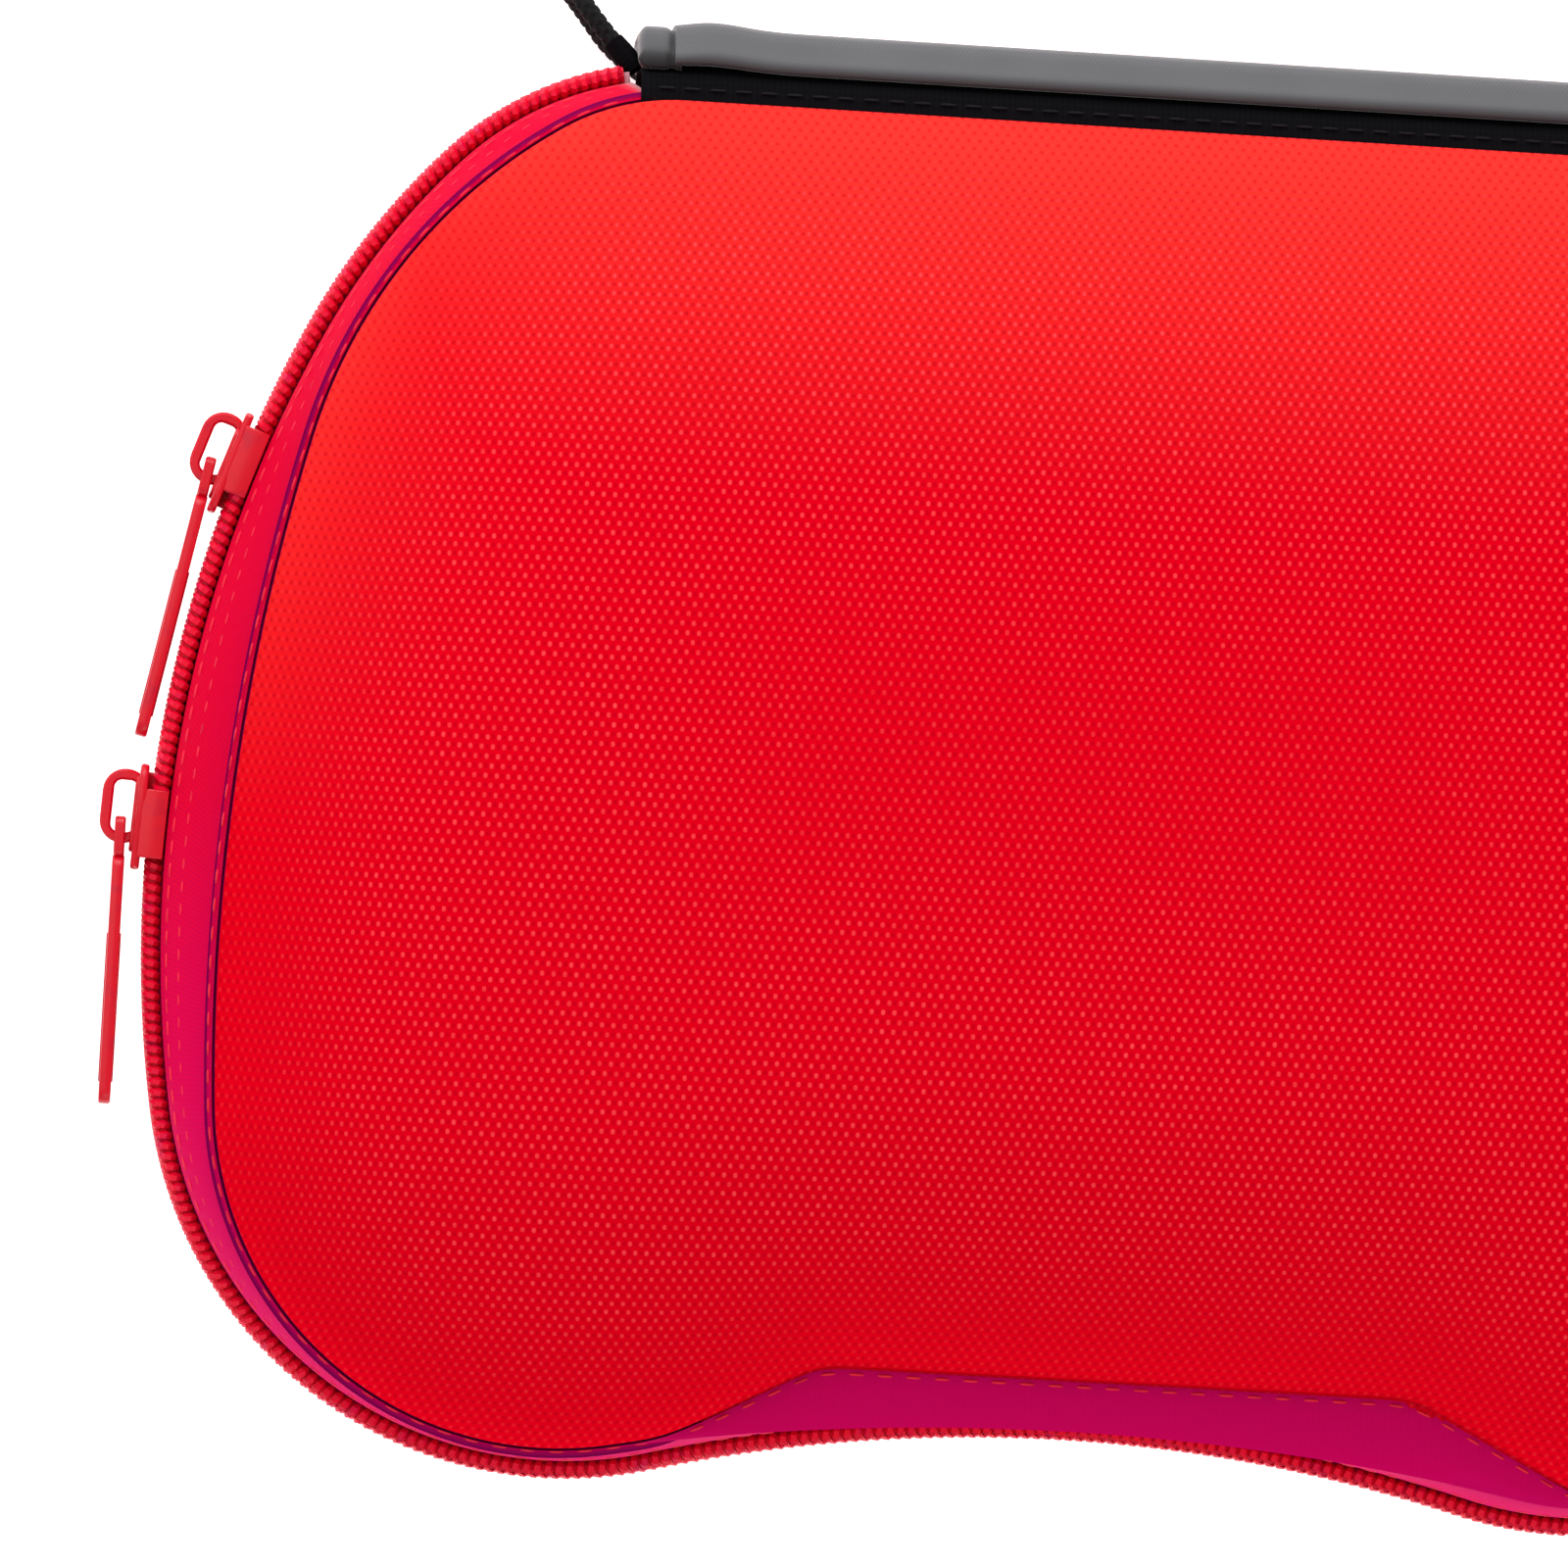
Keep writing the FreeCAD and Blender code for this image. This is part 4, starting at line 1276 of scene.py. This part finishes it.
def make_strap_end(side_name, sign):
    """Folded end of the strap: fatter at the fold, nipped at the stitch line."""
    share = np.linspace(0, 1, 22)
    x_values = sign * (END_X[0] + (END_X[1] - END_X[0]) * share)
    nip = 1 - 0.22 * np.exp(-((share - 0.22) / 0.10) ** 2)
    close = np.sqrt(np.clip(1 - np.clip((share - 0.8) / 0.2, 0, 1) ** 2, 0.05, 1))
    turn = np.linspace(0, 2 * math.pi, STRAP_SIDES, endpoint=False)
    cos, sin, edge = superellipse(turn, 4.0)
    y = END_Y + (END_HALF_T * nip * close)[:, None] * cos - END_LEAN * edge
    z = PARTING_Z + (END_HALF_W * (0.97 + 0.03 * nip) * (0.94 + 0.06 * close))[:, None] * sin
    x = np.repeat(x_values[:, None], STRAP_SIDES, axis=1)
    points = np.stack([x, y, z], axis=-1).reshape(-1, 3)
    uv = np.column_stack([points[:, 0], np.tile(turn * 4.5, len(share))])
    # painted shade on the side towards the spine and in the nip at the stitch line
    spine_side_shade = np.clip((1.05 - np.cos(turn)) / 1.2, 0, 1)[None] + 0.8 * (1 - nip[:, None]) / 0.22
    piece = make_piece("strap_end_" + side_name, points, tube_faces(len(share), STRAP_SIDES),
                       STRAP_FABRIC, uv=uv, marks={"spine_side_shade": np.clip(spine_side_shade, 0, 1).ravel()})
    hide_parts("strap_tab_" + side_name)
    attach(piece, "spine")
    seam_y = END_Y + END_HALF_T + 0.02
    spots = np.array([(sign * 49.6, seam_y, PARTING_Z + z) for z in np.linspace(-4, 4, 30)])
    make_stitches("strap_seam_" + side_name, Path(spots), 1.7, 1.15, 0.13, "spine",
                  BLACK_THREAD, (0, 1, 0))


for side_name, side_sign in (("left", -1), ("right", 1)):
    make_strap_end(side_name, side_sign)
    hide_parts("zip_end_tab_" + side_name)

# %% Spine seams
for half_name, side_sign in (("lid", 1), ("base", -1)):
    heights = PARTING_Z + side_sign * 9.45
    row = np.array([(x, 69.0, heights) for x in np.linspace(-SPINE_HALF_X, SPINE_HALF_X, 50)])
    make_stitches(half_name + "_spine_seam", Path(row), 2.6, 1.7, 0.13, half_name, BLACK_THREAD,
                  (0, 0, side_sign))

# %% [markdown]
# ## The hanging cord
# A 2 mm braided cord leaves the corner of the spine, falls to the table and lies doubled
# beneath the hinge side, with both ends sewn into the same corner. Its line is a NURBS
# curve through listed control points. The braid is real relief: the radius swells
# where strands that wind one way cross over strands that wind the other way.

# %% Cord
CORD_D = 2.0
CORD_ROUTE = [
    (-52.8, 73.0, 32.0), (-56.2, 76.7, 31.6), (-58.6, 80.7, 29.0), (-60.8, 84.0, 22.5),
    (-61.4, 84.9, 14.0), (-60.3, 83.3, 6.5), (-56.3, 79.2, 1.9), (-52.1, 73.9, 1.05),
    (-44.5, 70.0, 1.05), (-30.0, 71.6, 1.05), (-14.0, 69.0, 1.05), (3.0, 71.4, 1.05),
    (21.0, 69.4, 1.05), (37.1, 70.7, 1.05), (41.9, 66.3, 1.05), (41.6, 59.9, 1.05),
    (37.0, 55.4, 1.05), (26.0, 56.8, 1.05), (10.0, 55.2, 1.05), (-8.0, 57.6, 1.05),
    (-25.0, 56.4, 1.05), (-38.0, 60.2, 1.05), (-45.3, 65.8, 1.4), (-48.6, 69.4, 6.0),
    (-49.6, 70.6, 14.0), (-49.5, 70.3, 21.8),
]


def nurbs_points(route):
    """Points along the smooth NURBS line of a route, in millimetres."""
    curve = bpy.data.curves.new("cord_line", "CURVE")
    curve.dimensions = "3D"
    curve.resolution_u = 24
    spline = curve.splines.new("NURBS")
    spline.points.add(len(route) - 1)
    for point, place in zip(spline.points, route):
        point.co = (*(value * MM for value in place), 1.0)
    spline.order_u = 3
    spline.use_endpoint_u = True
    holder = bpy.data.objects.new("cord_line", curve)
    bpy.context.scene.collection.objects.link(holder)
    bpy.context.view_layer.update()
    mesh = bpy.data.meshes.new_from_object(holder)
    found = np.empty(len(mesh.vertices) * 3, np.float32)
    mesh.vertices.foreach_get("co", found)
    bpy.data.objects.remove(holder)
    bpy.data.curves.remove(curve)
    return found.reshape(-1, 3).astype(float) / MM


def cord_finish():
    """Black braid: a painted highlight on the strands' crowns, with the relief's own finer threads.
    """
    finish = Finish("cord")
    along, across = finish.uv()
    strands = ((along + across) * (2 * math.pi)).maths("SINE") * 0.5 + 0.5
    soft = finish.noise(3.0, 3.0)
    # painted highlight on the crowns of the strands, over soft random patches
    shade = finish.mix(strands * 0.6 + soft * 0.3, colour(3, 3, 4), colour(17, 16, 19))
    return finish.surface(Base_Color=shade, Roughness=0.75, Normal=finish.bump(strands, 0.06, 0.5),
                          Specular_IOR_Level=0.2)


def make_sleeve(name, end, follow, reach):
    """Cloth sleeve, folded round one end of the cord where it is sewn under the spine.
    It starts reach before the end and lies along the line to the next point."""
    start, away = np.array(end), np.array(follow) - np.array(end)
    away /= np.linalg.norm(away)
    run = np.array([-reach, 0.2 - reach, -0.55 * reach, 0.0, 0.8, 1.3, 1.45])
    size = np.array([0.7, 1.15, 1.25, 1.22, 1.16, 1.12, 0.95])
    points = tube(start + run[:, None] * away, size, 18)
    uv = np.column_stack([np.repeat(run, 18), np.tile(np.arange(18) * 0.4, len(run))])
    zero = np.zeros(len(points))
    piece = make_piece(name, points, tube_faces(len(run), 18), BLACK_FABRIC, uv=uv,
                       marks={"crease_shade": zero, "frayed": zero})
    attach(piece, "base")
    return piece


CORD_SIDES = 20
LAY_LENGTH = 4.4            # of one turn of a strand
VALLEY = 0.72               # radius between the strands, as a part of the cord's


def make_cord():
    """Tube whose radius carries a braid: strands cross as |sin| of two opposed windings."""
    line = Path(nurbs_points(CORD_ROUTE))
    run = np.arange(0, line.length, 0.22)
    centres = line.at(run)
    turn = np.linspace(0, 2 * math.pi, CORD_SIDES, endpoint=False)
    phase = run[:, None] * (2 * math.pi / LAY_LENGTH)
    left = np.sin(2 * turn[None] + 2 * phase) ** 2
    right = np.sin(2 * turn[None] - 2 * phase) ** 2
    radius = CORD_D / 2 * (VALLEY + (1 - VALLEY) * np.maximum(left, right))
    along = np.gradient(centres, axis=0)
    along /= np.linalg.norm(along, axis=1, keepdims=True)
    side = np.cross(along, [0.05, 0.06, 1.0])
    side /= np.linalg.norm(side, axis=1, keepdims=True)
    for index in range(1, len(side)):
        side[index] = side[index - 1] - along[index] * (side[index - 1] @ along[index])
        side[index] /= np.linalg.norm(side[index])
    up = np.cross(along, side)
    circle = np.cos(turn)[None, :, None] * side[:, None] + np.sin(turn)[None, :, None] * up[:, None]
    points = (centres[:, None] + circle * radius[..., None]).reshape(-1, 3)
    points[:, 2] = np.maximum(points[:, 2], 0.02)
    around = np.tile(turn / (2 * math.pi) * 4, len(run))
    uv = np.column_stack([np.repeat(run * 0.9, CORD_SIDES), around])
    piece = make_piece("cord_braid", points, tube_faces(len(run), CORD_SIDES), cord_finish(), uv=uv)
    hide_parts("hang_cord")
    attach(piece, "base")
    make_sleeve("cord_sleeve", *CORD_ROUTE[:2], 2.6)
    make_sleeve("cord_sleeve_inner", *CORD_ROUTE[:-3:-1], 3.7)
    print("cord length in mm", round(line.length, 1))


make_cord()

# %% [markdown]
# ## Inside the case
# The raw edges of the shells are bound with bias tape. The lid has a mesh pocket with an
# elastic hem, and an elastic strap crosses the floor of the base. None of this shows while
# the case is shut, but it does when the lid opens.

# %% Binding, pocket and strap
def make_binding(half):
    """Bias tape from the shell's outer edge, under it and up the lining."""
    places = [(0.7, 5.42), (0.9, 5.1), (2.2, 4.95), (4.2, 4.95), (5.7, 5.05), (6.15, 5.5),
              (6.1, 6.6), (5.95, 7.8)]
    rows = [rim_ring(depth, max(rise, EDGE_RISE)) for depth, rise in places]
    for row, (_, rise) in zip(rows, places):
        row[:, 2] = np.minimum(rise, rim_top(SHELL_T + LINING_GAP + LINING_T) - 0.3)
    points = np.concatenate(rows)
    run = lengths(rows[0])
    uv = np.column_stack([np.tile(run, len(rows)), np.repeat(np.arange(len(rows)) * 1.3, RING)])
    faces = grid_faces(len(rows), RING, wrap=True)
    lid = half == "lid"
    piece = make_piece(half + "_binding", on_side(points, lid), [faces[:, ::-1] if lid else faces],
                       BLACK_FABRIC, uv=uv, closed=False,
                       marks={"crease_shade": np.zeros(len(points)), "frayed": np.zeros(len(points))})
    thicken(piece, 0.35, 0.0)
    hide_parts(half + "_rim_binding")
    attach(piece, half)


def sheet_piece(name, x_values, y_values, height, finish, thickness, body, node):
    """A sheet over a grid of the plan; height(x, y) gives its place in Z."""
    x, y = np.meshgrid(x_values, y_values)
    points = np.column_stack([x.ravel(), y.ravel(), height(x, y).ravel()])
    zero = np.zeros(len(points))
    piece = make_piece(name, points, [grid_faces(len(y_values), len(x_values))], finish,
                       uv=points[:, :2], closed=False, marks={"crease_shade": zero, "frayed": zero})
    thicken(piece, thickness, 0.0)
    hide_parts(node)
    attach(piece, body)
    return piece


def pocket_height(x, y):
    """Mesh that hangs a little towards the base in its middle."""
    sag = (1 - (x / 76) ** 2) * (1 - ((y + 14) / 40) ** 2)
    return 46.6 - 1.1 * np.clip(sag, 0, 1) + 0.12 * np.sin(x * 0.8) * np.clip((y - 4) / 12, 0, 1)


def hem_height(x, y):
    """Gathered elastic: small waves along the pocket's open edge."""
    return pocket_height(x, np.full_like(y, 16.0)) + 0.3 * np.sin(x * 0.9)


def strap_height(x, y):
    """Elastic strap: flat at its sewn ends, arched a little over the floor."""
    return 6.3 + 2.1 * smooth(np.clip((44 - np.abs(x)) / 8, 0, 1))


for half_name in ("lid", "base"):
    make_binding(half_name)
pocket = sheet_piece("pocket_net", np.linspace(-73, 73, 74), np.linspace(-45.5, 16, 32),
                     pocket_height, BLACK_MESH, 0.35, "lid", "mesh_pocket")
hem = sheet_piece("pocket_hem", np.linspace(-68, 68, 240), np.linspace(15.6, 21.8, 8), hem_height,
                  BLACK_ELASTIC, 0.9, "lid", "pocket_elastic")
holding = sheet_piece("floor_strap", np.linspace(-52, 52, 105), np.linspace(-24, 1, 26), strap_height,
                      BLACK_ELASTIC, 1.1, "base", "holding_strap")

# %% [markdown]
# ## Floor and light
# A plain pale floor and soft light, strongest from the hinge side, as in a product studio.

# %% Stage
def make_floor():
    """A wide pale plane just under the case."""
    finish = Finish("floor")
    material = finish.surface(Base_Color=(0.85, 0.85, 0.85, 1), Roughness=0.9,
                              Specular_IOR_Level=0.1, Emission_Color=(1.0, 1.0, 1.0, 1.0),
                              Emission_Strength=0.75)
    size = 1500.0
    points = np.array([(-size, -size, 0), (size, -size, 0), (size, size, 0), (-size, size, 0)], float)
    points[:, 2] = -0.02
    floor = make_piece("floor", points, [np.array([[0, 1, 2, 3]])], material, closed=False)


def make_light(name, place, aim, size, power):
    """Square area light at place, turned towards aim."""
    data = bpy.data.lights.new(name, "AREA")
    data.size = size
    data.energy = power
    light = bpy.data.objects.new(name, data)
    bpy.context.scene.collection.objects.link(light)
    back = np.array(place, float) - np.array(aim, float)
    back /= np.linalg.norm(back)
    right = np.cross([0, 1, 0.1], back)
    right /= np.linalg.norm(right)
    matrix = np.eye(4)
    matrix[:3, 0], matrix[:3, 1], matrix[:3, 2] = right, np.cross(back, right), back
    matrix[:3, 3] = place
    light.matrix_world = Matrix(matrix.tolist())


def make_world(strength):
    """Even white surroundings."""
    world = bpy.data.worlds.new("world")
    world.use_nodes = True
    world.node_tree.nodes["Background"].inputs[0].default_value = (1, 1, 1, 1)
    world.node_tree.nodes["Background"].inputs[1].default_value = strength
    bpy.context.scene.world = world


make_floor()
make_light("hinge_side", (-0.15, 0.75, 0.5), (0, 0.02, 0.03), 0.6, 4.9)
make_light("overhead", (-0.45, 0.15, 1.0), (0, 0, 0.03), 0.8, 2.1)
make_light("front", (0.1, -0.75, 0.6), (0, -0.03, 0.03), 0.7, 1.9)
make_world(0.5)
bpy.context.scene.view_settings.view_transform = "Standard"
